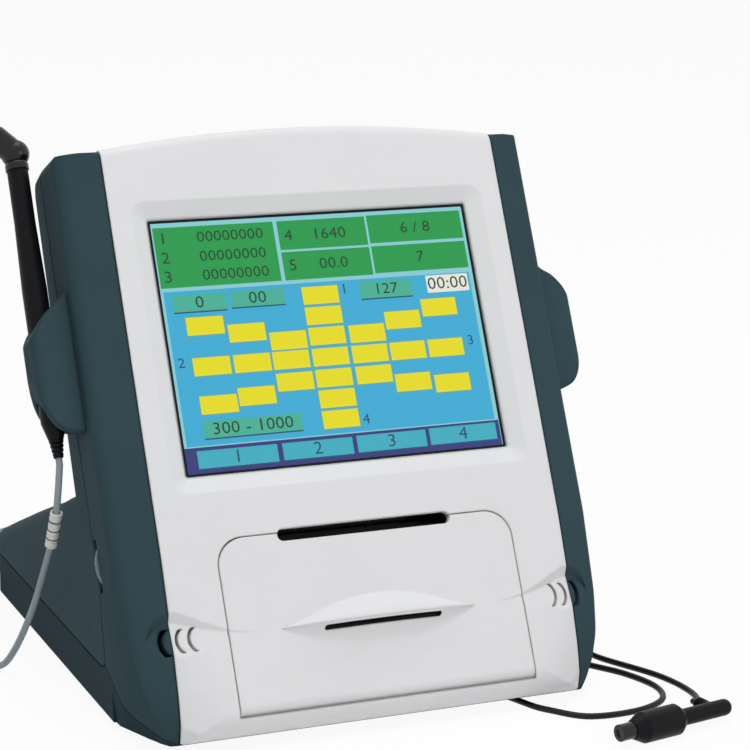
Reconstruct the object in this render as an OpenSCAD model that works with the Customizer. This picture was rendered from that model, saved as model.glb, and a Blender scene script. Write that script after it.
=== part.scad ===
/* [Body] */
// Width over both cheeks
body_w = 173; // [160:1:190]
// Length of the base from the face to the back
body_d = 193; // [180:1:215]
// Angle by which the face leans back from the vertical
face_tilt = 27.5; // [24:0.5:30]
// Height of the cheeks, measured up the face
cheek_h = 205; // [200:1:215]
// Rise of the panel's arched top above its corners
crown_rise = 5.3; // [3:0.1:8]
// Width of the pale front panel
panel_w = 144; // [138:1:148]
// Depth of the pale panel's edge
panel_depth = 14; // [10:0.5:18]
// Depth of the upright part at its top
slab_top_d = 35.4; // [30:0.2:36.6]
// Depth of the upright part where the back begins to slope
slab_waist_d = 37.8; // [36:0.2:42]
// Height up the face at which the back begins to slope
waist_h = 101; // [95:1:110]
// Thickness of the housing walls
wall = 2.5; // [2:0.1:3]
// Distance from the face to the seam between front and rear housings
seam_d = 24.5; // [22:0.5:27]
// Height of the base pan's edge at the back
pan_h = 14.7; // [13:0.1:17]
// Height of the base pan's edge at the front
pan_front_h = 1.2; // [1:0.1:2]
// Radius of the cheeks' front edges
cheek_r = 6; // [5:0.5:8]
// Radius of the cheeks' lower corners
cheek_corner_r = 18; // [14:0.5:22]
// Radius under the face where it turns into the base
chin_r = 9.5; // [8:0.5:10.5]
// Width of the groove along each seam
seam_w = 0.5; // [0.3:0.1:0.8]

/* [Screen] */
// Width of the picture area
lcd_w = 115.2; // [110:0.1:118]
// Height of the picture area
lcd_h = 86.4; // [84:0.1:90]
// Height up the face of the picture's middle
lcd_at = 136; // [134:0.5:140]
// Width of the sloping border round the picture
bevel_w = 6.2; // [4:0.1:6.6]
// Depth of the sloping border
bevel_d = 3; // [2:0.1:4]
// Thickness of the touch glass
glass_t = 0.8; // [0.6:0.1:1.5]
// Thickness of the screen module
lcd_t = 6; // [5:0.1:7]

/* [Printer] */
// Width of the paper door
door_w = 106; // [102:1:110]
// Height up the face of the door's top edge
door_top = 69.9; // [67:0.1:73]
// Height up the face of the door's hinge line
hinge_at = 15.4; // [15:0.1:17]
// Radius of the rolled lower edge of the door
hinge_r = 4; // [3.5:0.1:4.5]
// Corner radius of the door's top
door_r = 9.5; // [6:0.5:12]
// Width of the paper slot
slot_w = 62.6; // [60:0.2:66]
// Height of the paper slot
slot_h = 4.2; // [3.5:0.1:5]
// Width of the paper
paper_w = 57; // [55:1:58]
// Diameter of a full paper roll
roll_dia = 38; // [30:1:40]
// Diameter of the rubber feed roller
platen_dia = 10; // [8:0.5:11]
// Width of the pull lip on the door
lip_w = 70.2; // [60:1:80]
// How far the pull lip stands out
lip_out = 7; // [5:0.5:8]

/* [Probes and leads] */
// Diameter of the pachymeter probe's barrel
pen_dia = 8.5; // [7.5:0.1:9.5]
// Length of the pachymeter probe's barrel
pen_len = 94; // [80:1:110]
// Length of each probe holder
holder_len = 48.5; // [40:0.5:60]
// Diameter of the biometry probe's body
scan_dia = 10.6; // [9:0.1:12]
// Length of the biometry probe
scan_len = 48; // [42:1:55]
// Diameter of the pachymeter probe's lead
pen_cord_dia = 2.4; // [2:0.1:2.6]
// Diameter of the biometry probe's lead
scan_cord_dia = 2.2; // [1.8:0.1:2.3]

/* [Feet] */
// Height of the rubber feet below the base
foot_h = 3; // [3:0.1:4]
// Diameter of the rubber feet
foot_dia = 13; // [10:0.5:18]

/* [Hidden] */
$fn = 48;

// Longer than anything a cut passes through
past = 1;
far = 300;
// Play of a pin or shaft in its bore, and of a piece beside another
bore_play = 0.05;
door_gap = 0.35;
hinge_gap = 0.9;
slack = 0.3;

half_w = body_w / 2;
panel_half = panel_w / 2;
crown_h = cheek_h + 0.15 * crown_rise;
crown_top = crown_h + crown_rise;
crown_r = (panel_half * panel_half + crown_rise * crown_rise) / (2 * crown_rise);
edge_r = 4;
rear_r = 5;

slate = "#33464E";
pale = "#DCDDDF";
black = "#16171A";
steel = "#B9BCC0";
board = "#1F6B45";

// A point of the side view, from its height up the face and its depth behind it
function side(h, d) = [h * sin(face_tilt) + d * cos(face_tilt), h * cos(face_tilt) - d * sin(face_tilt)];

function unit(v) = v / norm(v);
function turn_left(v) = [-v[1], v[0]];
function line_cross(p, u, q, v) = p + u * ((q - p) * turn_left(v)) / (u * turn_left(v));

// The outline moved inwards by t, for points given anticlockwise
function inset(pts, t) = [
  for (i = [0:len(pts) - 1])
    let (
      before = pts[(i + len(pts) - 1) % len(pts)],
      here = pts[i],
      after = pts[(i + 1) % len(pts)],
      u = unit(here - before),
      v = unit(after - here)
    )
    line_cross(here + turn_left(u) * t, u, here + turn_left(v) * t, v)
];

// The outline with each corner rounded to its own radius
function rounded(pts, radii, steps = 8) = [
  for (i = [0:len(pts) - 1])
    let (
      before = pts[(i + len(pts) - 1) % len(pts)],
      here = pts[i],
      after = pts[(i + 1) % len(pts)],
      u = unit(before - here),
      v = unit(after - here),
      half = acos(max(-1, min(1, u * v))) / 2,
      r = radii[i],
      centre = here + unit(u + v) * r / sin(half),
      from = here + u * r / tan(half) - centre,
      to = here + v * r / tan(half) - centre,
      swing = 180 - 2 * half,
      way = from[0] * to[1] - from[1] * to[0] > 0 ? 1 : -1
    )
    each r == 0
      ? [here]
      : [for (k = [0:steps]) let (a = way * swing * k / steps)
          centre + [from[0] * cos(a) - from[1] * sin(a), from[0] * sin(a) + from[1] * cos(a)]]
];

// Radii of an inset outline: convex corners shrink and hollow ones grow
function inset_radii(radii, t) = [for (r = radii) r == 0 ? 0 : r > 0 ? max(r - t, t / 5) : -r];

// Frames: along X with the side view upright, and on the face with X across, Y up and Z out of it
module side_prism(pts, length) {
  rotate([90, 0, 90]) translate([0, 0, -length / 2]) linear_extrude(length) polygon(pts);
}

module on_face(x = 0, h = 0, d = 0) {
  rotate([90 - face_tilt, 0, 0]) translate([x, h, -d]) children();
}

// A block on the face between two corners, given as across, up and depth
module face_block(from, to) {
  on_face(from[0], from[1], to[2]) cube([to[0] - from[0], to[1] - from[1], to[2] - from[2]]);
}

// A pin along X at a place of the side view
module cross_pin(x0, x1, h, d, dia) {
  p = side(h, d);
  translate([x0, p[0], p[1]]) rotate([0, 90, 0]) cylinder(d = dia, h = x1 - x0);
}

module rounded_plate(w, h, r, t) {
  x = w / 2 - r;
  y = h / 2 - r;
  linear_extrude(t) polygon(rounded([[-w / 2, -h / 2], [w / 2, -h / 2], [w / 2, h / 2], [-w / 2, h / 2]], [r, r, r, r], 6));
}

// Side view of the upright part
slab_back = side(cheek_h, slab_top_d);
slab_waist = side(waist_h, slab_waist_d);
slab_foot = slab_waist + (slab_waist - slab_back) * slab_waist[1] / (slab_back[1] - slab_waist[1]);

top_rise = 3;
back_top_r = 9;
function slab_side(t) =
  let (pts = [[0, 0], slab_foot, slab_back + [0, top_rise], side(cheek_h, 0)])
  rounded(inset(pts, t), inset_radii([chin_r, 0, back_top_r, edge_r], t), 10);

// Sloping back: shares of the way from the waist to the end, and of the waist's height
ramp_shares = [[0.175, 0.815], [0.54, 0.6], [0.91, 0.34], [1, 0.2]];
ramp_radii = [-40, 90, 9, 7];
ramp_inset = 1.4;

function ramp_side(t) =
  let (
    span = body_d - slab_waist[0],
    tops = [for (s = ramp_shares) [slab_waist[0] + span * s[0], slab_waist[1] * s[1]]],
    pts = [[slab_waist[0] / 2, 0], [body_d, 0], tops[3], tops[2], tops[1], tops[0], slab_waist, side(waist_h, slab_waist_d) * 0.6],
    radii = [0, edge_r, ramp_radii[3], ramp_radii[2], ramp_radii[1], ramp_radii[0], 0, 0]
  )
  rounded(inset(pts, t), inset_radii(radii, t), 8);

// Plan of the upright part across the face: flat in the middle, and slanting back over the cheeks
cheek_slant = 25;
cheek_start = panel_half + 0.2;
cheek_turn_d = (half_w - cheek_start) * tan(cheek_slant);
function slab_plan(t) =
  let (pts = [[-half_w, -slab_waist_d * 2], [half_w, -slab_waist_d * 2], [half_w, -cheek_turn_d], [cheek_start, 0],
    [-cheek_start, 0], [-half_w, -cheek_turn_d]])
  rounded(inset(pts, t), inset_radii([0, 0, cheek_r, cheek_r / 2, cheek_r / 2, cheek_r], t), 8);

// Lower front corners, drawn in like a ball by planes that turn further and further to the side.
// Shares of the draw-in and of the height, from the top down
corner_in = 9.6;
corner_h = 65;
corner_shares = [[0, 1], [0.15, 0.54], [0.34, 0.33], [0.65, 0.19], [1, 0.085], [1.8, -0.08]];
// How far in from the edge of the panel the gentler planes may reach
corner_reach = 19;
corner_turns = [6, 13, 20, 28, 40, 54, 68, 80];
corner_lift = 5;
function corner_side(t, front, turn) =
  let (
    cap = turn < 34 ? corner_reach * sin(turn) : far,
    line = [for (s = corner_shares) let (in = corner_in * s[0])
      [front - in / sqrt(1 + in * in / cap / cap), corner_h * s[1] + corner_lift * turn / 90]],
    low = line[5][1],
    pts = [[-far, low], line[5], line[4], line[3], line[2], line[1], line[0], [front, far], [-far, far]]
  )
  rounded(inset(pts, t), inset_radii([0, 0, corner_in, corner_in, corner_h / 2, corner_h, corner_h, 0, 0], t), 3);

module corner_plane(t, way, turn) {
  x = half_w - cheek_r;
  // Depth of the centre of the cheek's rounded edge
  d = cheek_turn_d + cheek_r * tan((90 - cheek_slant) / 2);
  // The gentlest plane passes through the edge of the light panel
  front = turn < cheek_slant ? (panel_half - x) * sin(turn) + d * cos(turn) : cheek_r;
  on_face(way * x, 0, d) rotate([0, way * turn, 0]) rotate([0, -90, 0]) translate([0, 0, -2 * far])
    linear_extrude(4 * far) polygon(corner_side(t, front, turn));
}

module corner_planes(t, way) {
  intersection() {
    corner_plane(t, way, corner_turns[0]);
    corner_plane(t, way, corner_turns[1]);
    corner_plane(t, way, corner_turns[2]);
    corner_plane(t, way, corner_turns[3]);
    corner_plane(t, way, corner_turns[4]);
    corner_plane(t, way, corner_turns[5]);
    corner_plane(t, way, corner_turns[6]);
    corner_plane(t, way, corner_turns[7]);
  }
}

// Front view of the cheeks: sides that draw in towards the lower corners
cheek_foot_share = 0.955;
cheek_turn_share = 0.22;
function cheek_front(t) =
  let (
    x0 = half_w * cheek_foot_share,
    turn = cheek_h * cheek_turn_share,
    top = cheek_h + top_rise,
    pts = [[-x0, -edge_r / 4], [x0, -edge_r / 4], [half_w, turn], [half_w, top - edge_r],
      [half_w - edge_r / 2, top], [-half_w + edge_r / 2, top], [-half_w, top - edge_r], [-half_w, turn]]
  )
  rounded(inset(pts, t), inset_radii([cheek_corner_r, cheek_corner_r, far / 5, 2 * edge_r / 3, 2 * edge_r / 3,
    2 * edge_r / 3, 2 * edge_r / 3, far / 5], t), 10);

// The arched top: a disc with rounded rims, so that its edges are soft all along the arch
module crown(t) {
  deep = slab_top_d - t;
  r = crown_r - t;
  intersection() {
    on_face(0, crown_top - crown_r, deep) rotate_extrude($fn = 360)
      polygon(concat([[0, 0]], [for (p = rounded([[r / 2, 0], [r, 0], [r, deep - t], [r / 2, deep - t]],
        [0, edge_r - t / 2, edge_r - t / 2, 0], 6)) p], [[0, deep - t]]));
    face_block([-panel_half + t, waist_h, t], [panel_half - t, crown_top + past, slab_top_d]);
  }
}

module slab(t) {
  intersection() {
    side_prism(slab_side(t), body_w + past);
    on_face(0, -slab_waist_d) rotate([-90, 0, 0]) mirror([0, 1, 0]) linear_extrude(far) polygon(slab_plan(t));
    on_face(0, 0, slab_waist_d * 2) linear_extrude(far) polygon(cheek_front(t));
    corner_planes(t, -1);
    corner_planes(t, 1);
  }
  crown(t);
}

// The wedge behind, a little narrower than the cheeks, with soft upper edges
ramp_edge_r = 6;
ramp_corner_r = 12;
module ramp(t) {
  w = body_w - 2 * ramp_inset;
  rise = slab_waist[1] * (ramp_shares[0][1] - ramp_shares[2][1]);
  run = (body_d - slab_waist[0]) * (ramp_shares[2][0] - ramp_shares[0][0]);
  lean = atan(rise / run);
  top = [slab_waist[0] + (body_d - slab_waist[0]) * ramp_shares[1][0], slab_waist[1] * ramp_shares[1][1]];
  intersection() {
    side_prism(ramp_side(t), w);
    translate([0, 0, -past]) linear_extrude(slab_waist[1] + past) polygon(rounded(
      inset([[-w / 2, 0], [w / 2, 0], [w / 2, body_d], [-w / 2, body_d]], t),
      inset_radii([0, 0, ramp_corner_r, ramp_corner_r], t), 8));
    translate([0, top[0], top[1] - t]) rotate([90 - lean, 0, 0]) translate([0, 0, -far]) linear_extrude(2 * far)
      polygon(rounded([[-w / 2 + t, -far], [w / 2 - t, -far], [w / 2 - t, 0], [-w / 2 + t, 0]],
        [0, 0, ramp_edge_r, ramp_edge_r], 6));
  }
}

module body(t = 0) {
  slab(t);
  ramp(t);
}

module skin() {
  difference() {
    body();
    body(wall);
  }
}

// Where the housing pieces part
pan_start_share = 0.05;
pan_run_share = 0.15;
pan_rise_share = 0.235;
pan_peak_share = 0.248;
pan_fall_share = 0.28;
function pan_line() = [
  [-far, pan_front_h],
  [body_d * pan_start_share, pan_front_h],
  [body_d * pan_run_share, pan_h / 2],
  [body_d * pan_rise_share, pan_h + wall],
  [body_d * pan_peak_share, pan_h + wall],
  [body_d * pan_fall_share, pan_h],
  [far, pan_h]
];

module pan_region() {
  side_prism(concat([[far, -far], [-far, -far]], pan_line()), body_w + 2 * past);
}

seam_bend_share = 0.3;
module front_region(extra = 0) {
  bend = side(cheek_h * seam_bend_share, seam_d + extra);
  low = [body_d * (pan_rise_share + pan_peak_share) / 2 + extra, pan_h * 1.8];
  side_prism([[low[0], 0], low, bend, side(crown_top + far, seam_d + extra), side(crown_top + far, -far), [-far, 0]],
    body_w + 2 * past);
}

module panel_region(extra = 0) {
  face_block([-panel_half - extra, -far, -past], [panel_half + extra, crown_top + past, panel_depth + extra]);
}

// Shallow outer layer that the seam grooves are cut from
module outer_layer() {
  difference() {
    body();
    body(seam_w);
  }
}

// Front panel
door_low = hinge_at - hinge_r;
slot_at = door_top - slot_h / 7;
gasket_show = 0.8;
screen_outer_w = 128;
screen_outer_h = 98;
window_w = lcd_w + 2 * gasket_show;
window_h = lcd_h + 2 * gasket_show;
window_r = 5;

module window_cut() {
  on_face(0, lcd_at) {
    hull() {
      rounded_plate(window_w + 2 * bevel_w, window_h + 2 * bevel_w, window_r, seam_w);
      translate([0, 0, -bevel_d]) rounded_plate(window_w, window_h, gasket_show, seam_w);
    }
    translate([0, 0, -bevel_d - past]) rounded_plate(window_w, window_h, gasket_show, bevel_d);
  }
}

module door_shape(extra) {
  polygon(rounded(
    [[-door_w / 2 - extra, door_low], [door_w / 2 + extra, door_low], [door_w / 2 + extra, door_top + extra],
      [-door_w / 2 - extra, door_top + extra]],
    [0, 0, door_r, door_r], 10));
}

module door_opening() {
  on_face(0, 0, bay_deep) linear_extrude(bay_deep + past) difference() {
    door_shape(door_gap);
    translate([-door_w, -far]) square([2 * door_w, far + hinge_at]);
  }
  cross_pin(-door_w / 2 - door_gap, door_w / 2 + door_gap, hinge_at, hinge_r, 2 * (hinge_r + hinge_gap));
  face_block([-door_w / 2 - door_gap, hinge_at - past, -past], [door_w / 2 + door_gap, hinge_at + past, bay_deep]);
}
bay_deep = panel_depth;

module paper_slot() {
  on_face(0, slot_at, panel_depth) linear_extrude(panel_depth + past) hull() {
    for (x = [-1, 1]) translate([x * (slot_w - slot_h) / 2, 0]) circle(d = slot_h);
  }
}

// Scoops beside the pull lip: they widen from the lip's tips to the cheeks
scoop_at = 38.7;
scoop_start = 44;
scoop_wide = 71;
scoop_end = 80;
scoop_half = 10.6;
scoop_deep = 3.1;
scoop_wall = 4.2;
scoop_steps = 14;
scoop_power = 1.65;

function scoop_reach(x) = x < scoop_wide
  ? pow(max(0, (x - scoop_start) / (scoop_wide - scoop_start)), scoop_power)
  : sqrt(max(0, 1 - pow((x - scoop_wide) / (scoop_end - scoop_wide), 2)));

// How far the cheek has slanted back at a place across
function cheek_fall(x) = max(0, x - cheek_start) * tan(cheek_slant);

function scoop_ring(x) =
  let (
    fall = cheek_fall(x),
    half = scoop_half * scoop_reach(x) + seam_w / 5,
    deep = scoop_deep * min(1, (x - scoop_start) / (scoop_wide - scoop_start)) * sqrt(scoop_reach(x)) + seam_w / 10
  )
  [[x, scoop_at - half, past], [x, scoop_at - half, -fall], [x, scoop_at - half / 3, -fall - deep * 0.55],
    [x, scoop_at + half * 0.62, -fall - deep], [x, scoop_at + half, -fall], [x, scoop_at + half, past]];

// Thicker wall behind each scoop
module scoop_back(way, from, to) {
  face_block([way > 0 ? from : -to, scoop_at - scoop_half - wall, wall / 2],
    [way > 0 ? to : -from, scoop_at + scoop_half + wall, cheek_fall(min(to, scoop_end)) + scoop_deep + scoop_wall]);
}

module scoop(way) {
  xs = [for (i = [0:scoop_steps]) scoop_start + (scoop_end - scoop_start) * sin(90 * i / scoop_steps)];
  rings = [for (x = xs) scoop_ring(x)];
  on_face() mirror([way < 0 ? 1 : 0, 0, 0]) loft(rings);
}

// A closed solid through rings of points, with flat ends
module loft(rings) {
  n = len(rings[0]);
  m = len(rings);
  polyhedron(
    points = [for (r = rings) each r],
    faces = concat(
      [[for (k = [0:n - 1]) k]],
      [for (i = [0:m - 2]) for (k = [0:n - 1]) each [
        [i * n + k, (i + 1) * n + k, (i + 1) * n + (k + 1) % n],
        [i * n + k, (i + 1) * n + (k + 1) % n, i * n + (k + 1) % n]
      ]],
      [[for (k = [n - 1:-1:0]) (m - 1) * n + k]]
    )
  );
}

// Arched sound slots beside the scoops
vent_h = 8;
vent_w = 1;
vent_bow = 1.9;
vent_xs = [66.3, 70.4];
cheek_vent_x = 75.4;
cheek_vent_w = 1.7;

module arch_slot(x, w, h, way) {
  r = (h * h / 4 + vent_bow * vent_bow) / (2 * vent_bow);
  deep = scoop_deep + scoop_wall + cheek_fall(x) + past;
  on_face(0, scoop_at, deep) mirror([way < 0 ? 1 : 0, 0, 0]) translate([x - r, 0, 0]) intersection() {
    difference() {
      cylinder(r = r + w / 2, h = deep + past);
      translate([0, 0, -past]) cylinder(r = r - w / 2, h = deep + 3 * past);
    }
    translate([0, -h / 2, -past]) cube([2 * r, h, deep + 3 * past]);
  }
}

boss_w = 5;
boss_dia = 2 * hinge_r;
pin_dia = 2.5;
module hinge_bosses() {
  for (x = [-1, 1]) {
    x0 = x > 0 ? door_w / 2 + door_gap : -door_w / 2 - door_gap - boss_w;
    intersection() {
      cross_pin(x0, x0 + boss_w, hinge_at, hinge_r, boss_dia);
      body(wall / 2);
    }
  }
}

module front_bezel() {
  color(pale) difference() {
    union() {
      difference() {
        intersection() {
          skin();
          panel_region();
        }
        pan_region();
      }
      hinge_bosses();
      for (way = [-1, 1]) intersection() {
        body(wall / 2);
        scoop_back(way, door_w / 2 + door_gap, panel_half - wall / 2);
      }
      // Ledge round the window that the screen parts are held against
      face_block([-screen_outer_w / 2 - slack, lcd_at - screen_outer_h / 2 - slack, wall / 2],
        [screen_outer_w / 2 + slack, lcd_at + screen_outer_h / 2 + slack, bevel_d]);
    }
    window_cut();
    door_opening();
    paper_slot();
    for (way = [-1, 1]) {
      scoop(way);
      for (x = vent_xs) arch_slot(x, vent_w, vent_h, way);
    }
    cross_pin(-door_w / 2 - door_gap - boss_w, door_w / 2 + door_gap + boss_w, hinge_at, hinge_r, pin_dia);
  }
}

// Front housing
wheel_at = 69;
wheel_slot_len = 18;
wheel_t = 2.2;
wheel_r = 13;
wheel_out = 0.8;
wheel_play = 0.4;

module wheel_cut() {
  face_block([-half_w - past, wheel_at - wheel_slot_len / 2, seam_d - wheel_t - 2 * wheel_play],
    [-half_w + wheel_r, wheel_at + wheel_slot_len / 2, seam_d]);
}

module front_housing() {
  color(slate) difference() {
    union() {
      intersection() {
        skin();
        front_region();
      }
      for (way = [-1, 1]) intersection() {
        body(wall / 2);
        scoop_back(way, panel_half, half_w);
      }
    }
    panel_region();
    pan_region();
    intersection() {
      outer_layer();
      panel_region(seam_w);
    }
    for (way = [-1, 1]) {
      scoop(way);
      arch_slot(cheek_vent_x, cheek_vent_w, vent_h + vent_w, way);
    }
    wheel_cut();
  }
}

// Rear cover, with the recess for the sockets
bay_w = 124;
bay_y_share = 0.928;
bay_floor = wall;
plate_t = 1.5;
function bay_y() = body_d * bay_y_share;

module rear_bay(extra = 0) {
  translate([-bay_w / 2 - extra, bay_y() - extra, bay_floor]) cube([bay_w + 2 * extra, far, slab_waist[1]]);
}

module rear_cover() {
  color(slate) difference() {
    union() {
      difference() {
        skin();
        front_region();
        rear_bay();
      }
      // Walls of the recess
      difference() {
        intersection() {
          body(wall / 2);
          rear_bay(wall);
        }
        rear_bay();
        translate([-bay_w / 2, 0, 0]) cube([bay_w, far, slab_waist[1]]);
      }
      // Lintel over the socket plate
      intersection() {
        body(wall / 2);
        translate([-bay_w / 2, bay_y() - wall, plate_top()]) cube([bay_w, wall, slab_waist[1]]);
      }
    }
    pan_region();
    intersection() {
      outer_layer();
      union() {
        front_region(seam_w);
        translate([0, 0, seam_w]) pan_region();
      }
    }
  }
}
function plate_top() = port_z + port_dia / 2 + port_flange + slack;

module base_pan() {
  color("#2B383F") difference() {
    union() {
      difference() {
        intersection() {
          skin();
          pan_region();
        }
        rear_bay();
      }
      // Posts for the case screws
      for (p = screw_places()) translate([p[0], p[1], wall / 2]) cylinder(d = post_dia, h = pan_h - wall);
    }
    for (p = screw_places()) translate([p[0], p[1], 0]) {
      translate([0, 0, -past]) cylinder(d = screw_head_dia + 2 * slack, h = past + screw_head_h + slack);
      translate([0, 0, -past]) cylinder(d = screw_dia, h = pan_h + past - wall);
    }
    for (p = foot_places()) translate([p[0], p[1], -past]) cylinder(d = foot_dia, h = past + foot_seat);
    rear_bay();
  }
}
foot_seat = 0.8;
post_dia = 8;
screw_dia = 3;
screw_head_dia = 5.6;
screw_head_h = 1.6;
foot_side_share = 0.8;
foot_front_share = 0.14;
foot_back_share = 0.9;
screw_back_share = 0.84;
screw_side_share = 0.58;
function foot_places() = [
  for (x = [-1, 1]) for (y = [foot_front_share, foot_back_share]) [x * half_w * foot_side_share, body_d * y]
];
function screw_places() = [
  for (x = [-1, 1]) for (y = [foot_front_share, screw_back_share]) [x * half_w * screw_side_share, body_d * y]
];

module feet() {
  color(black) for (p = foot_places()) translate([p[0], p[1], -foot_h]) {
    cylinder(d1 = foot_dia - 2 * foot_seat, d2 = foot_dia, h = foot_seat);
    translate([0, 0, foot_seat]) cylinder(d = foot_dia, h = foot_h);
  }
}

module case_screws() {
  color(steel) for (p = screw_places()) translate([p[0], p[1], slack]) difference() {
    union() {
      cylinder(d = screw_head_dia, h = screw_head_h);
      cylinder(d = screw_dia, h = pan_h - 2 * wall);
    }
    translate([0, 0, -past]) cylinder(d = screw_dia / 2, h = past + screw_head_h / 2, $fn = 6);
  }
}

// Probe holders on both sides
holder_low = 112.5;
holder_out = 13.6;
holder_front = 14;
holder_axis_out = 7.8;
holder_axis_d = 24;
holder_back_r = 6.6;
pocket_dia = pen_dia + 2 * slack;
ledge_t = 2;
ledge_dia = 8.2;

module holder_section(dia) {
  difference() {
    union() {
      // Flap in front of the probe, with its soft outer corner
      polygon(rounded([[-past, -holder_front], [-past, -holder_axis_d], [holder_out + past / 2, -holder_axis_d],
        [holder_out, -holder_front]], [0, 0, 0, 4.5], 8));
      translate([holder_axis_out, -holder_axis_d]) circle(r = holder_back_r);
      translate([-past, -holder_axis_d - holder_back_r]) square([holder_axis_out + past, holder_back_r]);
    }
    translate([holder_axis_out, -holder_axis_d]) circle(d = dia);
  }
}

// Front view of the flap, as shares of how far it stands out and of its length
holder_shares = [[0, 0], [0.29, 0.015], [0.61, 0.066], [0.87, 0.22], [1, 0.48], [0.98, 0.64], [0.86, 0.73], [0.52, 0.865],
  [0.24, 0.925], [0, 1]];
flap_t = 3.5;
holder_tuck = 3;
module holder_outline() {
  polygon(concat([[-wall, 0]], curve([for (s = holder_shares) [s[0] * (holder_out + past), s[1] * holder_len]], 4),
    [[-wall, holder_len]]));
}
module holder(way) {
  color(slate) difference() {
    mirror([way < 0 ? 1 : 0, 0, 0]) intersection() {
      on_face(half_w, holder_low) rotate([-90, 0, 0]) mirror([0, 1, 0]) {
        linear_extrude(ledge_t + holder_tuck) holder_section(ledge_dia);
        translate([0, 0, ledge_t + holder_tuck]) linear_extrude(holder_len - ledge_t - holder_tuck)
          holder_section(pocket_dia);
      }
      union() {
        on_face(half_w, holder_low, holder_front + flap_t) linear_extrude(holder_front + flap_t) holder_outline();
        // The pocket behind the flap ends a little higher
        on_face(half_w, holder_low, holder_axis_d + 2 * holder_back_r)
          linear_extrude(holder_axis_d + 2 * holder_back_r - holder_front) intersection() {
            holder_outline();
            translate([0, holder_tuck]) holder_outline();
          }
      }
    }
    body();
  }
}
module left_holder() { holder(-1); }
module right_holder() { holder(1); }

// Screen parts, stacked behind the panel's ledge
gasket_t = 0.4;

module screen_gasket() {
  color(black) on_face(0, lcd_at, bevel_d + gasket_t) difference() {
    rounded_plate(screen_outer_w, screen_outer_h, gasket_show, gasket_t);
    translate([0, 0, -past]) rounded_plate(lcd_w, lcd_h, gasket_show / 2, gasket_t + 2 * past);
  }
}

module touch_panel() {
  color("#9FC3CC") on_face(0, lcd_at, bevel_d + gasket_t + glass_t)
    rounded_plate(screen_outer_w, screen_outer_h, gasket_show, glass_t);
}

lcd_front = bevel_d + gasket_t + glass_t;
lcd_frame_t = 0.6;
lcd_ear_w = 5;
module lcd_module() {
  color("#2BA650") on_face(0, lcd_at, lcd_front + lcd_t) {
    rounded_plate(screen_outer_w, screen_outer_h, gasket_show, lcd_t);
    // Ears with their screw holes
    for (x = [-1, 1]) for (y = [-1, 1])
      translate([x * (screen_outer_w + lcd_ear_w) / 2, y * (screen_outer_h / 2 - lcd_ear_w), 0]) difference() {
        translate([-lcd_ear_w / 2, -lcd_ear_w / 2, 0]) cube([lcd_ear_w, lcd_ear_w, 2 * lcd_frame_t]);
        translate([0, 0, -past]) cylinder(d = lcd_ear_w / 2, h = 2 * lcd_frame_t + 2 * past);
      }
  }
}

chassis_w = 136;
chassis_low = 92;
chassis_h = 104;
chassis_t = 1.5;
chassis_front = lcd_front + lcd_t;
hole_dia = 22;
module chassis_plate() {
  color(steel) on_face(0, chassis_low + chassis_h / 2, chassis_front + chassis_t) difference() {
    union() {
      rounded_plate(chassis_w, chassis_h, edge_r, chassis_t);
      for (p = standoffs()) translate([p[0], p[1], -board_gap]) cylinder(d = 2 * screw_dia, h = board_gap + chassis_t);
    }
    for (x = [-1, 0, 1]) translate([x * chassis_w / 4, 0, -past]) cylinder(d = hole_dia, h = chassis_t + 2 * past);
    for (p = standoffs()) translate([p[0], p[1], -board_gap - past]) cylinder(d = screw_dia - bore_play, h = board_gap);
  }
}
board_gap = 4;
board_t = 1.6;
main_w = 118;
main_h = 84;
function standoffs() = [for (x = [-1, 1]) for (y = [-1, 1]) [x * (main_w / 2 - edge_r), y * (main_h / 2 - edge_r)]];

// A circuit board with its chips: places as shares of the board, sizes as shares of its height
chip_shares = [[-0.3, 0.22, 0.26, 0.26], [0.08, 0.24, 0.2, 0.14], [0.32, 0.2, 0.12, 0.3], [-0.28, -0.24, 0.16, 0.16],
  [0.02, -0.2, 0.34, 0.12], [0.3, -0.26, 0.14, 0.14]];
chip_t = 1.2;
module circuit(w, h) {
  difference() {
    translate([-w / 2, -h / 2, 0]) cube([w, h, board_t]);
    for (x = [-1, 1]) for (y = [-1, 1])
      translate([x * (w / 2 - edge_r), y * (h / 2 - edge_r), -past]) cylinder(d = screw_dia, h = board_t + 2 * past);
  }
  for (s = chip_shares)
    translate([s[0] * w - s[2] * h / 2, s[1] * h - s[3] * h / 2, board_t]) cube([s[2] * h, s[3] * h, chip_t]);
}

module mainboard() {
  color(board) on_face(0, chassis_low + chassis_h / 2, chassis_front + chassis_t + board_gap) mirror([0, 0, 1])
    circuit(main_w, main_h);
}

low_board_z = 8;
low_board_y_share = 0.64;
pulser_w = 74;
pulser_h = 66;
power_w = 56;
module board_posts(w, h) {
  for (x = [-1, 1]) for (y = [-1, 1])
    translate([x * (w / 2 - edge_r), y * (h / 2 - edge_r), wall - low_board_z])
      cylinder(d = 2 * screw_dia, h = low_board_z - wall);
}

module pulser_board() {
  color(board) translate([-half_w / 2, body_d * low_board_y_share, low_board_z]) {
    circuit(pulser_w, pulser_h);
    board_posts(pulser_w, pulser_h);
    // Screening can over the receiver
    translate([-pulser_w / 4, -pulser_h / 8, board_t]) cube([pulser_w / 2, pulser_h / 3, 3 * wall]);
  }
}

coil_former_dia = 16;
module power_board() {
  color(board) translate([half_w * 0.42, body_d * low_board_y_share, low_board_z]) {
    circuit(power_w, pulser_h);
    board_posts(power_w, pulser_h);
    for (y = [-1, 1]) translate([power_w / 4, y * pulser_h / 4, board_t + chip_t])
      cylinder(d = coil_former_dia / 2, h = coil_former_dia / 2);
    translate([-power_w / 4, -pulser_h / 4, board_t]) cube([coil_former_dia, coil_former_dia, coil_former_dia]);
  }
}

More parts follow.
